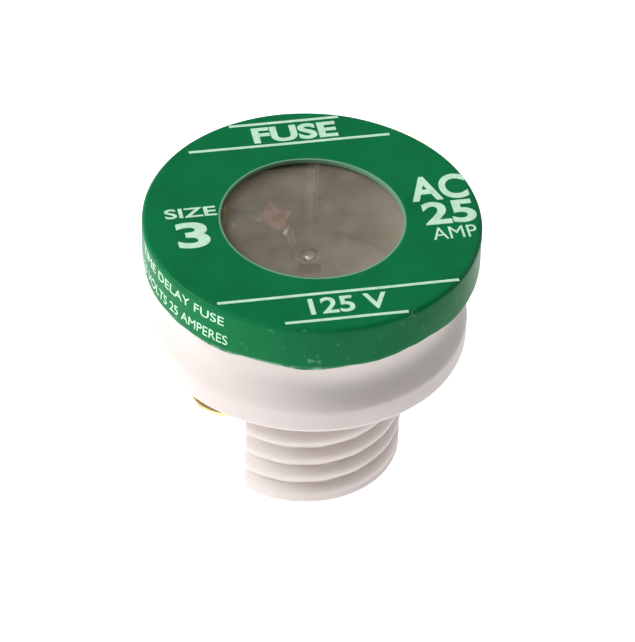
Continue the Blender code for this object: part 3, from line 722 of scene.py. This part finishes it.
def rolled_sheet():
    """A sheet rolled clockwise into a sleeve, whose inner end lifts off the wall."""
    middle = LINER_RADIUS - LINER_SHEET / 2
    rows, steps = 12, 190
    foot = heights("floor_disc")[1] + 0.02 * MM
    bm = bmesh.new()
    column = [bm.verts.new((middle * cos(LINER_START), middle * sin(LINER_START),
                            foot + (LINER_TOP - foot) * i / rows)) for i in range(rows + 1)]
    edges = [bm.edges.new(pair) for pair in zip(column, column[1:])]
    turn = Matrix.Rotation(-LINER_SWEEP / steps, 3, "Z")
    radius = middle
    for i in range(1, steps + 1):
        made = bmesh.ops.extrude_edge_only(bm, edges=edges)["geom"]
        column = {v for v in made if isinstance(v, bmesh.types.BMVert)}
        edges = [e for e in made if isinstance(e, bmesh.types.BMEdge) and column.issuperset(e.verts)]
        left = LINER_SWEEP * (1 - i / steps)
        wanted = middle - LINER_LIFT * smooth(1 - left / LINER_LIFT_TURN)
        bmesh.ops.rotate(bm, verts=list(column), cent=(0, 0, 0), matrix=turn)
        bmesh.ops.scale(bm, verts=list(column), vec=(wanted / radius, wanted / radius, 1))
        radius = wanted
    return bm


def make_lining(fuse):
    """The rolled fibre sleeve, and the fibre disc on the chamber's floor."""
    board = vulcanised_fibre(fuse.colours)
    obj = as_object("rolled_liner", rolled_sheet())
    give_thickness(obj, LINER_SHEET)
    ease_edges(obj, 0.05 * MM)
    finish_piece(obj, board, "fuse", "fibre", "liner_sleeve")
    disc = frame["nodes"]["floor_disc"]
    disc.data.materials.clear()
    disc.data.materials.append(board)


# ---- Porcelain body ------------------------------------------------------------------------------

NECK_TOP = SKIRT_END + SHEET + FIT
NECK_DROP = 5.2 * MM              # top of the cap to the start of the groove
GROOVE_DROP = 10.4 * MM           # top of the cap to the end of the groove
FLANGE_ROUND = 0.6 * MM
END_ROUND = 0.5 * MM
THREAD_START = 1.7 * MM           # height at which the groove's middle passes the +X side
THREAD_ROWS = 16                  # rings of points in each turn of the thread
THREAD_FADE = 1.0 * MM
RECESS_TOP = CONTACT_RIM + FIT
BORE_RADIUS = 3.6 * MM


def groove_line(shape):
    """The hollow between neck and flange."""
    neck = FLANGE_RADIUS - shape.flange_standout
    middle = (neck + FLANGE_RADIUS) / 2
    rows = 26
    points = []
    for i in range(rows + 1):
        share = i / rows
        radius = neck + (FLANGE_RADIUS - neck) * share - (middle - WAIST_RADIUS) * sin(pi * share) ** 1.5
        points.append((radius, TOP - NECK_DROP - (GROOVE_DROP - NECK_DROP) * share))
    return points


def body_line(shape):
    """Down the outside of the body from its top, and back up the inside."""
    neck = FLANGE_RADIUS - shape.flange_standout
    crown = (HEAD_RADIUS - 0.3 * MM, HEAD_TOP - 0.3 * MM)
    flange = (FLANGE_RADIUS - FLANGE_ROUND, FLANGE_UNDERSIDE + FLANGE_ROUND)
    end = (THREAD_RADIUS - END_ROUND, SHANK_END + END_ROUND)
    recess = CONTACT_RADIUS + FIT
    groove = groove_line(shape)
    rows = round((FLANGE_UNDERSIDE - end[1]) / THREAD_PITCH * THREAD_ROWS)
    points = [(CHAMBER_RADIUS, HEAD_TOP)] + arc(crown, 0.3 * MM, 90, 0, 4)
    points += [(HEAD_RADIUS, NECK_TOP + 0.1 * MM), (neck, NECK_TOP)]
    points += line((neck, NECK_TOP), groove[0], 4)[1:] + groove
    points += line(groove[-1], (FLANGE_RADIUS, flange[1]), 6)[1:]
    points += arc(flange, FLANGE_ROUND, 0, -90, 7)
    points += line((flange[0], FLANGE_UNDERSIDE), (THREAD_RADIUS, FLANGE_UNDERSIDE), 8)[1:]
    points += line((THREAD_RADIUS, FLANGE_UNDERSIDE), (THREAD_RADIUS, end[1]), rows)
    points += arc(end, END_ROUND, 0, -90, 7)
    points += line((end[0], SHANK_END), (recess, SHANK_END), 4)[1:]
    points += [(recess, SHANK_END), (recess, RECESS_TOP), (RIVET_HOLE, RECESS_TOP)]
    points += [(RIVET_HOLE, BORE_FLOOR), (BORE_RADIUS, BORE_FLOOR)]
    return points + [(BORE_RADIUS, CHAMBER_FLOOR), (CHAMBER_RADIUS, CHAMBER_FLOOR)]


def thread_sink(turn, height, shape):
    """How deep the right-hand groove is at this angle from +X and this height."""
    phase = (height - THREAD_START) / THREAD_PITCH - turn / tau
    hollow = 1 - abs(sin(pi * phase)) ** 0.85
    top = FLANGE_UNDERSIDE - THREAD_PITCH / 6
    bottom = SHANK_END + END_ROUND
    fade = smooth((top - height) / THREAD_FADE) * smooth((height - bottom) / THREAD_FADE)
    return shape.thread_depth * hollow * fade


def pressed_and_fired(co, shape):
    """Moves a point of the true turned body to where the threaded, flatted and fired one has it."""
    radius = co.xy.length
    around = Vector((co.x, co.y, 0)).normalized()
    if radius > CONTACT_RADIUS + FIT + 0.1 * MM and co.z < FLANGE_UNDERSIDE - 0.02 * MM:
        if abs(radius - THREAD_RADIUS) < 0.05 * MM:
            co = co - around * thread_sink(atan2(co.y, co.x), co.z, shape)
        co.x = -soft_min(-co.x, FLAT_DISTANCE, 0.35 * MM)
    if CHAMBER_RADIUS + 0.5 * MM < radius < HEAD_RADIUS - 0.2 * MM and co.z < NECK_TOP:
        co = co + around * noise.noise(co / (6 * MM)) * shape.kiln_warp
    return co


def strip_slot():
    """The slot that the side strip's leg passes through."""
    reach = SHEET / 2 + FIT
    half = STRIP_WIDTH / 2 + FIT
    bm = block((STRIP_RADIUS - reach, -half, FLANGE_UNDERSIDE - 2 * FIT),
               (STRIP_RADIUS + reach, half, CHAMBER_FLOOR + 2 * FIT))
    bm.transform(turn_to(STRIP_AZIMUTH))
    return bm


def make_body(fuse):
    bm = spun(body_line(fuse.shape), 360)
    for vert in bm.verts:
        vert.co = pressed_and_fired(vert.co, fuse.shape)
    obj = as_object("porcelain_body", bm)
    boolean(obj, strip_slot(), "DIFFERENCE")
    return finish_piece(obj, fired_porcelain(fuse.colours), "fuse", "porcelain", "body", crease=45)


# ---- Side contact --------------------------------------------------------------------------------

LEAF_GAP = 0.3 * MM
LEAF_HALF_WIDTH = 1.2 * MM
PAD_AZIMUTH = radians(42)
PAD_HALF_LENGTH = 2.6 * MM
PAD_HALF_WIDTH = 2.1 * MM
LEAF_DROP = heights("side_contact_leaf")[1] - heights("side_contact_leaf")[0] - SHEET
LEAF_RADIUS = THREAD_RADIUS + LEAF_GAP + PAD_HALF_WIDTH
ROOT_AZIMUTH = STRIP_AZIMUTH - (STRIP_WIDTH / 2 + FIT) / (LEAF_RADIUS - LEAF_HALF_WIDTH)


def leaf_half(from_tip):
    """Half the leaf's width at a distance from its tip: a slim arm that widens into an oval pad."""
    inside = 1 - (from_tip / PAD_HALF_LENGTH - 1) ** 2
    pad = PAD_HALF_WIDTH * sqrt(max(0.0, inside))
    return pad if from_tip < PAD_HALF_LENGTH else soft_max(pad, LEAF_HALF_WIDTH, 0.5 * MM)


def soft_max(a, b, blend):
    return -soft_min(-a, -b, blend)


def make_leaf(material):
    """The springy leaf: it follows the flange round and hangs lower towards its pad."""
    length = (ROOT_AZIMUTH - PAD_AZIMUTH) * LEAF_RADIUS + PAD_HALF_LENGTH
    bm = bmesh.new()
    bmesh.ops.create_grid(bm, x_segments=90, y_segments=10, size=0.5)
    for vert in bm.verts:
        # columns crowd towards the tip, where the outline is round
        along = length * sin(pi / 2 * (vert.co.x + 0.5))
        across = vert.co.y * 2 * max(leaf_half(length - along), 0.05 * MM)
        share = along / length
        middle = FOOT_TOP - SHEET / 2 - LEAF_DROP * (1.5 * share - 0.5 * share ** 3)
        from_pad = Vector((length - along - PAD_HALF_LENGTH, across)).length / (PAD_HALF_WIDTH * 0.8)
        dish = 0.18 * MM * smooth(1 - from_pad)
        vert.co = at_azimuth(ROOT_AZIMUTH - along / LEAF_RADIUS, LEAF_RADIUS + across, middle - dish)
    bmesh.ops.recalc_face_normals(bm, faces=bm.faces)
    obj = as_object("contact_leaf", bm)
    give_thickness(obj, SHEET * 0.95)
    ease_edges(obj, 0.06 * MM)
    return finish_piece(obj, material, "side_contact", "brass", "side_contact_leaf")


def make_strip(material):
    """The upright leg through the flange, with its foot bent outwards."""
    foot = FOOT_TOP - SHEET / 2
    path = bent([(FOOT_REACH, foot), (STRIP_RADIUS, foot), (STRIP_RADIUS, STRIP_TOP)], 0.5 * MM)
    bm = band(path, STRIP_WIDTH)
    bm.transform(turn_to(STRIP_AZIMUTH))
    obj = as_object("side_strip", bm)
    give_thickness(obj, SHEET)
    ease_edges(obj, 0.07 * MM)
    return finish_piece(obj, material, "fuse", "brass", "side_contact_strip")


# ---- Centre contact, rivet and lug ---------------------------------------------------------------

def make_centre_contact(material):
    """A dished brass button with a flat ring to stand on and a dimple for the rivet."""
    face_in, face_out = 2.0 * MM, 3.1 * MM
    path = bent([(RIVET_HOLE, 0.7 * MM), (1.5 * MM, 0.7 * MM), (face_in, 0), (face_out, 0),
                 (CONTACT_RADIUS, CONTACT_RIM - 0.3 * MM), (CONTACT_RADIUS, CONTACT_RIM)], 0.22 * MM, 4)
    obj = as_object("base_contact", face(spun([tuple(p) for p in path], 120, closed=False), -UP))
    give_thickness(obj, SHEET, offset=-1)
    ease_edges(obj, 0.05 * MM)
    return finish_piece(obj, material, "fuse", "brass", "centre_contact")


RIVET_HEAD = 1.35 * MM
RIVET_TUBE = 0.75 * MM
RIVET_WALL = 0.35 * MM


def make_rivet(material):
    """A tubular rivet: a pressed head in the dimple, and a rolled flare over the lug's foot."""
    low, high = heights("centre_rivet")
    head = low + RIVET_WALL
    flare = high - RIVET_WALL
    points = [(RIVET_WALL, low), (RIVET_HEAD * 0.8, low)]
    points += arc((RIVET_HEAD - RIVET_WALL / 2, low + RIVET_WALL / 2), RIVET_WALL / 2, -90, 90, 8)
    points += [(RIVET_TUBE, head), (RIVET_TUBE, flare)]
    points += arc((RIVET_HEAD - RIVET_WALL / 2, flare + RIVET_WALL / 2), RIVET_WALL / 2, -90, 90, 8)
    points += [(RIVET_WALL + 0.15 * MM, high), (RIVET_WALL, high - 0.15 * MM)]
    obj = as_object("tubular_rivet", spun(points, 64))
    return finish_piece(obj, material, "fuse", "brass", "centre_rivet")


LUG_WIDTH = 2.0 * MM
LUG_EYE = 1.9 * MM
LUG_TAB = 2.0 * MM


def make_lug(material):
    """A round foot under the rivet's flare, a riser up the bore, and a tab bent to the front."""
    foot = BORE_FLOOR + FIT + SHEET / 2
    tab = LUG_TOP - SHEET / 2
    path = bent([(0, foot), (LUG_SETBACK, foot), (LUG_SETBACK, tab), (LUG_SETBACK - LUG_TAB, tab)], 0.5 * MM)
    bm = band(path, LUG_WIDTH)
    bm.transform(Matrix.Rotation(pi / 2, 4, "Z"))
    obj = as_object("bore_lug", bm)
    give_thickness(obj, SHEET)
    apply_modifiers(obj)
    under, over = foot - SHEET / 2, foot + SHEET / 2
    boolean(obj, spun([(0, under), (LUG_EYE, under), (LUG_EYE, over), (0, over)], 48, closed=False), "UNION")
    hole = [(0, under - FIT), (RIVET_HOLE, under - FIT), (RIVET_HOLE, over + FIT), (0, over + FIT)]
    boolean(obj, spun(hole, 48, closed=False), "DIFFERENCE")
    return finish_piece(obj, material, "fuse", "brass", "centre_lug")


# ---- Fuse link, load and solder ------------------------------------------------------------------

LINK_SHEET = 0.25 * MM
LINK_WIDTH = 1.6 * MM
LINK_TAIL = 1.25 * MM             # flat end that lies on the lug's tab
LINK_CREST_SHARE = 0.42           # how far along the link its crest is, and then its shoulder
LINK_SHOULDER_SHARE = 0.86
LINK_END = TOP - 5.6 * MM         # lower end, on the side strip
LINK_BEND = TOP - 4 * MM          # where it leaves the strip, and its shoulder
LINK_CREST = TOP - 3.1 * MM
LOAD_LENGTH = 2.4 * MM
LOAD_WIDTH = 3.0 * MM
LOAD_THICK = 0.8 * MM
SOLDER_RADIUS = 0.85 * MM
SOLDER_HEIGHT = 0.5 * MM


def link_corners():
    """The link's middle line, from the side strip over its crest to the lug: distance along, and height."""
    start = at_azimuth(STRIP_AZIMUTH, STRIP_RADIUS - SHEET / 2 - 2 * FIT - LINK_SHEET / 2)
    distance = (Vector((0, LUG_SETBACK, 0)) - start).length
    span = distance - LINK_TAIL
    tail = LUG_TOP + FIT + LINK_SHEET / 2
    return [(0, LINK_END), (0, LINK_BEND), (LINK_CREST_SHARE * span, LINK_CREST),
            (LINK_SHOULDER_SHARE * span, LINK_BEND), (span, tail), (distance, tail)]


def link_place():
    """Places a shape laid out in the link's own plane: +X along the link, +Z up."""
    start = at_azimuth(STRIP_AZIMUTH, STRIP_RADIUS - SHEET / 2 - 2 * FIT - LINK_SHEET / 2)
    along = (Vector((0, LUG_SETBACK, 0)) - start).normalized()
    matrix = Matrix((along, UP.cross(along), UP)).transposed().to_4x4()
    matrix.translation = start
    return matrix


def make_link(fuse):
    """The zinc link, narrowed where it is meant to melt."""
    bm = band(bent(link_corners(), 0.45 * MM, 8), LINK_WIDTH, 6)
    span = link_corners()[-1][0]
    bmesh.ops.subdivide_edges(bm, edges=[e for e in bm.edges if e.calc_length() > 0.6 * MM], cuts=6)
    for vert in bm.verts:
        narrow = smooth(1 - abs(vert.co.x - 0.3 * span) / (0.16 * span))
        vert.co.y *= 1 - 0.35 * narrow
        vert.co.z += noise.noise(vert.co / (1.5 * MM)) * 0.05 * MM
    bm.transform(link_place())
    obj = as_object("zinc_link", bm)
    give_thickness(obj, LINK_SHEET)
    ease_edges(obj, 0.04 * MM)
    return finish_piece(obj, rolled_zinc(fuse.colours), "fuse", "zinc", "fuse_link")


def make_load(fuse):
    """The copper slug that rides on the link, past its crest."""
    corners = [Vector(p) for p in link_corners()]
    along = (corners[3] - corners[2]).normalized()
    above = Vector((-along.y, along.x))
    middle = (corners[2] + corners[3]) / 2 + above * (LINK_SHEET / 2 + FIT + LOAD_THICK / 2)
    half = Vector((LOAD_LENGTH, LOAD_WIDTH, LOAD_THICK)) / 2
    bm = block(-half, half)
    bmesh.ops.bevel(bm, geom=bm.edges[:], offset=LOAD_THICK / 3, offset_type="OFFSET", segments=4,
                    profile=0.5, affect="EDGES", material=-1)
    bmesh.ops.subdivide_edges(bm, edges=bm.edges[:], cuts=2, use_grid_fill=True)
    for vert in bm.verts:
        vert.co += vert.co.normalized() * noise.noise(vert.co / (0.9 * MM)) * 0.08 * MM
    bm.transform(Matrix.Rotation(Vector((1, 0)).angle_signed(along), 4, "Y"))
    bmesh.ops.translate(bm, verts=bm.verts, vec=(middle.x, 0, middle.y))
    bm.transform(link_place())
    obj = as_object("copper_load", bm)
    return finish_piece(obj, oxidised_copper(fuse.colours), "fuse", "copper", "link_load", crease=60)


def solder_dome(seed):
    """A frozen dome with a flat underside at the origin, a little lopsided."""
    profile = [(0, 0)] + line((0.2 * SOLDER_RADIUS, 0), (SOLDER_RADIUS, 0), 3)
    points = arc((0, 0), 1, 0, 90, 10)
    profile += [(SOLDER_RADIUS * x, SOLDER_HEIGHT * y) for x, y in points]
    bm = spun(profile, 40, closed=False)
    for vert in bm.verts:
        if vert.co.z > 0:
            vert.co *= 1 + 0.12 * noise.noise(vert.co / (0.6 * MM) + Vector((seed, 0, 0)))
    return bm


def make_solder(fuse):
    """The two joints: link to side strip, and link to lug."""
    metal = soft_solder(fuse.colours)
    gap = LINK_SHEET / 2 + FIT
    corners = link_corners()
    side = solder_dome(3)
    side.transform(Matrix.Rotation(pi / 2, 4, "Y"))
    bmesh.ops.translate(side, verts=side.verts, vec=(gap, 0, corners[0][1] + SOLDER_RADIUS / 2))
    centre = solder_dome(8)
    bmesh.ops.translate(centre, verts=centre.verts, vec=(corners[-1][0], 0, corners[-1][1] + gap))
    for name, bm, cad in (("side_joint", side, "side_solder"), ("centre_joint", centre, "centre_solder")):
        bm.transform(link_place())
        finish_piece(as_object(name, bm), metal, "fuse", "solder", cad, crease=60)


# ---- Studio --------------------------------------------------------------------------------------

def make_floor(colours):
    bm = bmesh.new()
    bmesh.ops.create_grid(bm, x_segments=1, y_segments=1, size=2.0)
    floor = as_object("studio_floor", bm)
    floor.data.materials.append(studio_paper(colours))


def make_softbox(name, azimuth, elevation, distance, size, power, aim):
    """A square area light at an azimuth and elevation about the fuse, pointed at it."""
    light = bpy.data.lights.new(name, "AREA")
    light.shape = "SQUARE"
    light.size = size
    light.energy = power
    obj = bpy.data.objects.new(name, light)
    bpy.context.scene.collection.objects.link(obj)
    away = at_azimuth(azimuth, distance * cos(elevation), distance * sin(elevation))
    obj.location = aim + away
    obj.rotation_euler = away.to_track_quat("Z", "Y").to_euler()


def make_world(fuse):
    """A pale room, with a dull side at the right front."""
    world = bpy.data.worlds.new("studio_room")
    world.use_nodes = True
    tree = world.node_tree
    sky = tree.nodes["Background"]
    sky.inputs["Strength"].default_value = fuse.studio.room_light
    around = node(tree, "ShaderNodeTexCoord", {}).outputs["Generated"]
    facing = node(tree, "ShaderNodeVectorMath", {0: around, 1: at_azimuth(radians(-60), 1)},
                  operation="DOT_PRODUCT")
    side = node(tree, "ShaderNodeMapRange", {"Value": facing.outputs["Value"], "From Min": 0.1,
                                             "From Max": 0.6})
    tone = node(tree, "ShaderNodeMix", {0: side.outputs["Result"], 6: opaque(fuse.colours.room),
                                        7: opaque(fuse.colours.dull_room)}, data_type="RGBA")
    tree.links.new(tone.outputs[2], sky.inputs["Color"])
    bpy.context.scene.world = world


def make_lights(studio):
    """A key light from the left, soft light from above, a rim from the right rear, and plain tones."""
    aim = UP * TOP / 2
    make_softbox("key_light", radians(88), radians(38), 0.9, 0.5, studio.key_power, aim)
    make_softbox("fill_light", radians(20), radians(65), 0.9, 0.6, studio.fill_power, aim)
    make_softbox("rim_light", radians(-122), radians(28), 0.6, 0.3, studio.rim_power, aim)
    bpy.context.scene.view_settings.view_transform = "Standard"


def make_camera(studio):
    """Looks down on the front of the fuse, a little past its foot, with the horizon slightly tipped."""
    data = bpy.data.cameras.new("camera")
    data.lens = studio.lens
    data.clip_start = 0.01
    camera = bpy.data.objects.new("camera", data)
    bpy.context.scene.collection.objects.link(camera)
    forward = Vector((0, cos(studio.elevation), -sin(studio.elevation)))
    right = Vector((1, 0, 0))
    above = Vector((0, sin(studio.elevation), cos(studio.elevation)))
    across = right * cos(studio.roll) - above * sin(studio.roll)
    upright = right * sin(studio.roll) + above * cos(studio.roll)
    camera.matrix_world = Matrix((across, upright, -forward)).transposed().to_4x4()
    aim = UP * TOP + right * studio.aim_right + above * studio.aim_up
    camera.location = aim - forward * studio.distance
    bpy.context.scene.camera = camera


# ---- Settings ------------------------------------------------------------------------------------

def colour(name, description, value):
    return FloatVectorProperty(name=name, description=description, default=linear(value), min=0, max=1,
                               subtype="COLOR", size=3)


def length(name, description, value):
    return FloatProperty(name=name, description=description, default=value, unit="LENGTH", precision=5)


class FuseColours(bpy.types.PropertyGroup):
    """Colours of the fuse's finishes"""

    enamel: colour("Enamel", "Baked enamel of the cap", "#0C7040")
    # pale enamel: rubbed spots, the pale crimped edge, thin ink, and also the painted highlight round the
    # opening
    rubbed_and_highlit_enamel: colour("Thin enamel", "Enamel where it is thin or rubbed", "#86B59A")
    ink: colour("Ink", "Print on the cap", "#CDF3D9")
    mica: colour("Mica", "Haze of the window", "#B4AB9A")
    porcelain: colour("Porcelain", "Fired porcelain", "#DBD3D0")
    porcelain_blush: colour("Blush", "Warmer patches of the porcelain", "#D9CDC9")
    fibre: colour("Fibre", "Lining, floor disc and gasket", "#CCC2B1")
    brass: colour("Brass", "Clean brass", "#E6D2A0")
    brass_tarnish: colour("Tarnish", "Tarnished brass", "#B29A68")
    zinc: colour("Zinc", "Fuse link", "#D2D0CA")
    copper: colour("Copper", "Load on the link", "#AE8070")
    solder: colour("Solder", "Solder joints", "#DAD6C8")
    floor: colour("Floor", "Studio paper", "#F4F4F4")
    dull_room: colour("Dull room", "Light from the dull side of the room", "#4A4238")
    room: colour("Room", "Colour of the room's light", "#FFFFFF")


class FuseShape(bpy.types.PropertyGroup):
    """Fine shape of the fuse's pieces"""

    edge_wave: length("Edge wave", "How far the crimped edge of the cap wavers", 0.24 * MM)
    unevenness: length("Unevenness", "How far the cap's top strays from flat", 0.035 * MM)
    ink_thickness: length("Ink thickness", "How far the print stands up", 0.018 * MM)
    flange_standout: length("Flange standout", "How far the flange stands out past the neck", 0.55 * MM)
    thread_depth: length("Thread depth", "Depth of the shank's groove", 0.6 * MM)
    kiln_warp: length("Kiln warp", "How far firing pulls the porcelain out of true", 0.05 * MM)


class FuseStudio(bpy.types.PropertyGroup):
    """Camera and lights"""

    elevation: FloatProperty(name="Elevation", description="How far the camera looks down", subtype="ANGLE",
                             default=radians(41.14))
    roll: FloatProperty(name="Roll", description="Tip of the horizon", subtype="ANGLE",
                        default=radians(-2.93))
    lens: FloatProperty(name="Lens", description="Focal length in millimetres", default=255.2, min=10)
    distance: length("Distance", "From the camera to the cap", 0.4)
    aim_right: length("Aim right", "How far right of the cap's middle the camera looks", 0.91 * MM)
    aim_up: length("Aim up", "How far above the cap's middle the camera looks", -9.04 * MM)
    key_power: FloatProperty(name="Key", description="Power of the key light", default=7.5, unit="POWER")
    fill_power: FloatProperty(name="Fill", description="Power of the fill light", default=1.2, unit="POWER")
    rim_power: FloatProperty(name="Rim", description="Power of the rim light", default=0.7, unit="POWER")
    room_light: FloatProperty(name="Room light", description="Strength of the light from all round",
                              default=0.3)


class PlugFuse(bpy.types.PropertyGroup):
    """All settings of the plug fuse"""

    colours: PointerProperty(type=FuseColours)
    shape: PointerProperty(type=FuseShape)
    studio: PointerProperty(type=FuseStudio)


# ---- Operators and panel -------------------------------------------------------------------------

class PLUGFUSE_OT_cap(bpy.types.Operator):
    """Make the pressed, enamelled cap"""

    bl_idname = "plug_fuse.cap"
    bl_label = "Cap"

    def execute(self, context):
        make_cap(context.scene.plug_fuse)
        return {"FINISHED"}


class PLUGFUSE_OT_print(bpy.types.Operator):
    """Print the rating and the rules on the cap"""

    bl_idname = "plug_fuse.print"
    bl_label = "Print"

    def execute(self, context):
        make_print(context.scene.plug_fuse)
        return {"FINISHED"}


class PLUGFUSE_OT_window(bpy.types.Operator):
    """Make the mica window, and finish its gasket"""

    bl_idname = "plug_fuse.window"
    bl_label = "Window"

    def execute(self, context):
        make_window(context.scene.plug_fuse)
        return {"FINISHED"}


class PLUGFUSE_OT_lining(bpy.types.Operator):
    """Roll the fibre lining, and finish the floor disc"""

    bl_idname = "plug_fuse.lining"
    bl_label = "Lining"

    def execute(self, context):
        make_lining(context.scene.plug_fuse)
        return {"FINISHED"}


class PLUGFUSE_OT_body(bpy.types.Operator):
    """Make the threaded porcelain body"""

    bl_idname = "plug_fuse.body"
    bl_label = "Porcelain body"

    def execute(self, context):
        make_body(context.scene.plug_fuse)
        return {"FINISHED"}


class PLUGFUSE_OT_brass(bpy.types.Operator):
    """Make the brass side strip, springy leaf, centre contact, rivet and lug"""

    bl_idname = "plug_fuse.brass"
    bl_label = "Brass contacts"

    def execute(self, context):
        material = tarnished_brass(context.scene.plug_fuse.colours)
        for make in (make_strip, make_leaf, make_centre_contact, make_rivet, make_lug):
            make(material)
        return {"FINISHED"}


class PLUGFUSE_OT_link(bpy.types.Operator):
    """Make the fuse link, its load and the solder joints"""

    bl_idname = "plug_fuse.link"
    bl_label = "Fuse link"

    def execute(self, context):
        fuse = context.scene.plug_fuse
        for make in (make_link, make_load, make_solder):
            make(fuse)
        return {"FINISHED"}


class PLUGFUSE_OT_studio(bpy.types.Operator):
    """Set up the paper floor, the lights and the camera"""

    bl_idname = "plug_fuse.studio"
    bl_label = "Studio"

    def execute(self, context):
        fuse = context.scene.plug_fuse
        make_floor(fuse.colours)
        make_world(fuse)
        make_lights(fuse.studio)
        make_camera(fuse.studio)
        return {"FINISHED"}


OPERATORS = (PLUGFUSE_OT_body, PLUGFUSE_OT_lining, PLUGFUSE_OT_brass, PLUGFUSE_OT_link, PLUGFUSE_OT_window,
             PLUGFUSE_OT_cap, PLUGFUSE_OT_print, PLUGFUSE_OT_studio)


class PLUGFUSE_PT_panel(bpy.types.Panel):
    """The plug fuse's settings, and a button for each of its pieces"""

    bl_idname = "PLUGFUSE_PT_panel"
    bl_label = "Plug Fuse"
    bl_space_type = "VIEW_3D"
    bl_region_type = "UI"
    bl_category = "Plug Fuse"

    def draw(self, context):
        fuse = context.scene.plug_fuse
        for group in (fuse.colours, fuse.shape, fuse.studio):
            box = self.layout.box()
            for name in group.bl_rna.properties.keys():
                if name not in ("rna_type", "name"):
                    box.prop(group, name)
        for operator in OPERATORS:
            self.layout.operator(operator.bl_idname)


CLASSES = (FuseColours, FuseShape, FuseStudio, PlugFuse, *OPERATORS, PLUGFUSE_PT_panel)


def register():
    for cls in CLASSES:
        bpy.utils.register_class(cls)
    bpy.types.Scene.plug_fuse = PointerProperty(type=PlugFuse)


def unregister():
    del bpy.types.Scene.plug_fuse
    for cls in reversed(CLASSES):
        bpy.utils.unregister_class(cls)


def main():
    register()
    for operator in OPERATORS:
        group, name = operator.bl_idname.split(".")
        getattr(getattr(bpy.ops, group), name)()


if __name__ == "__main__":
    main()
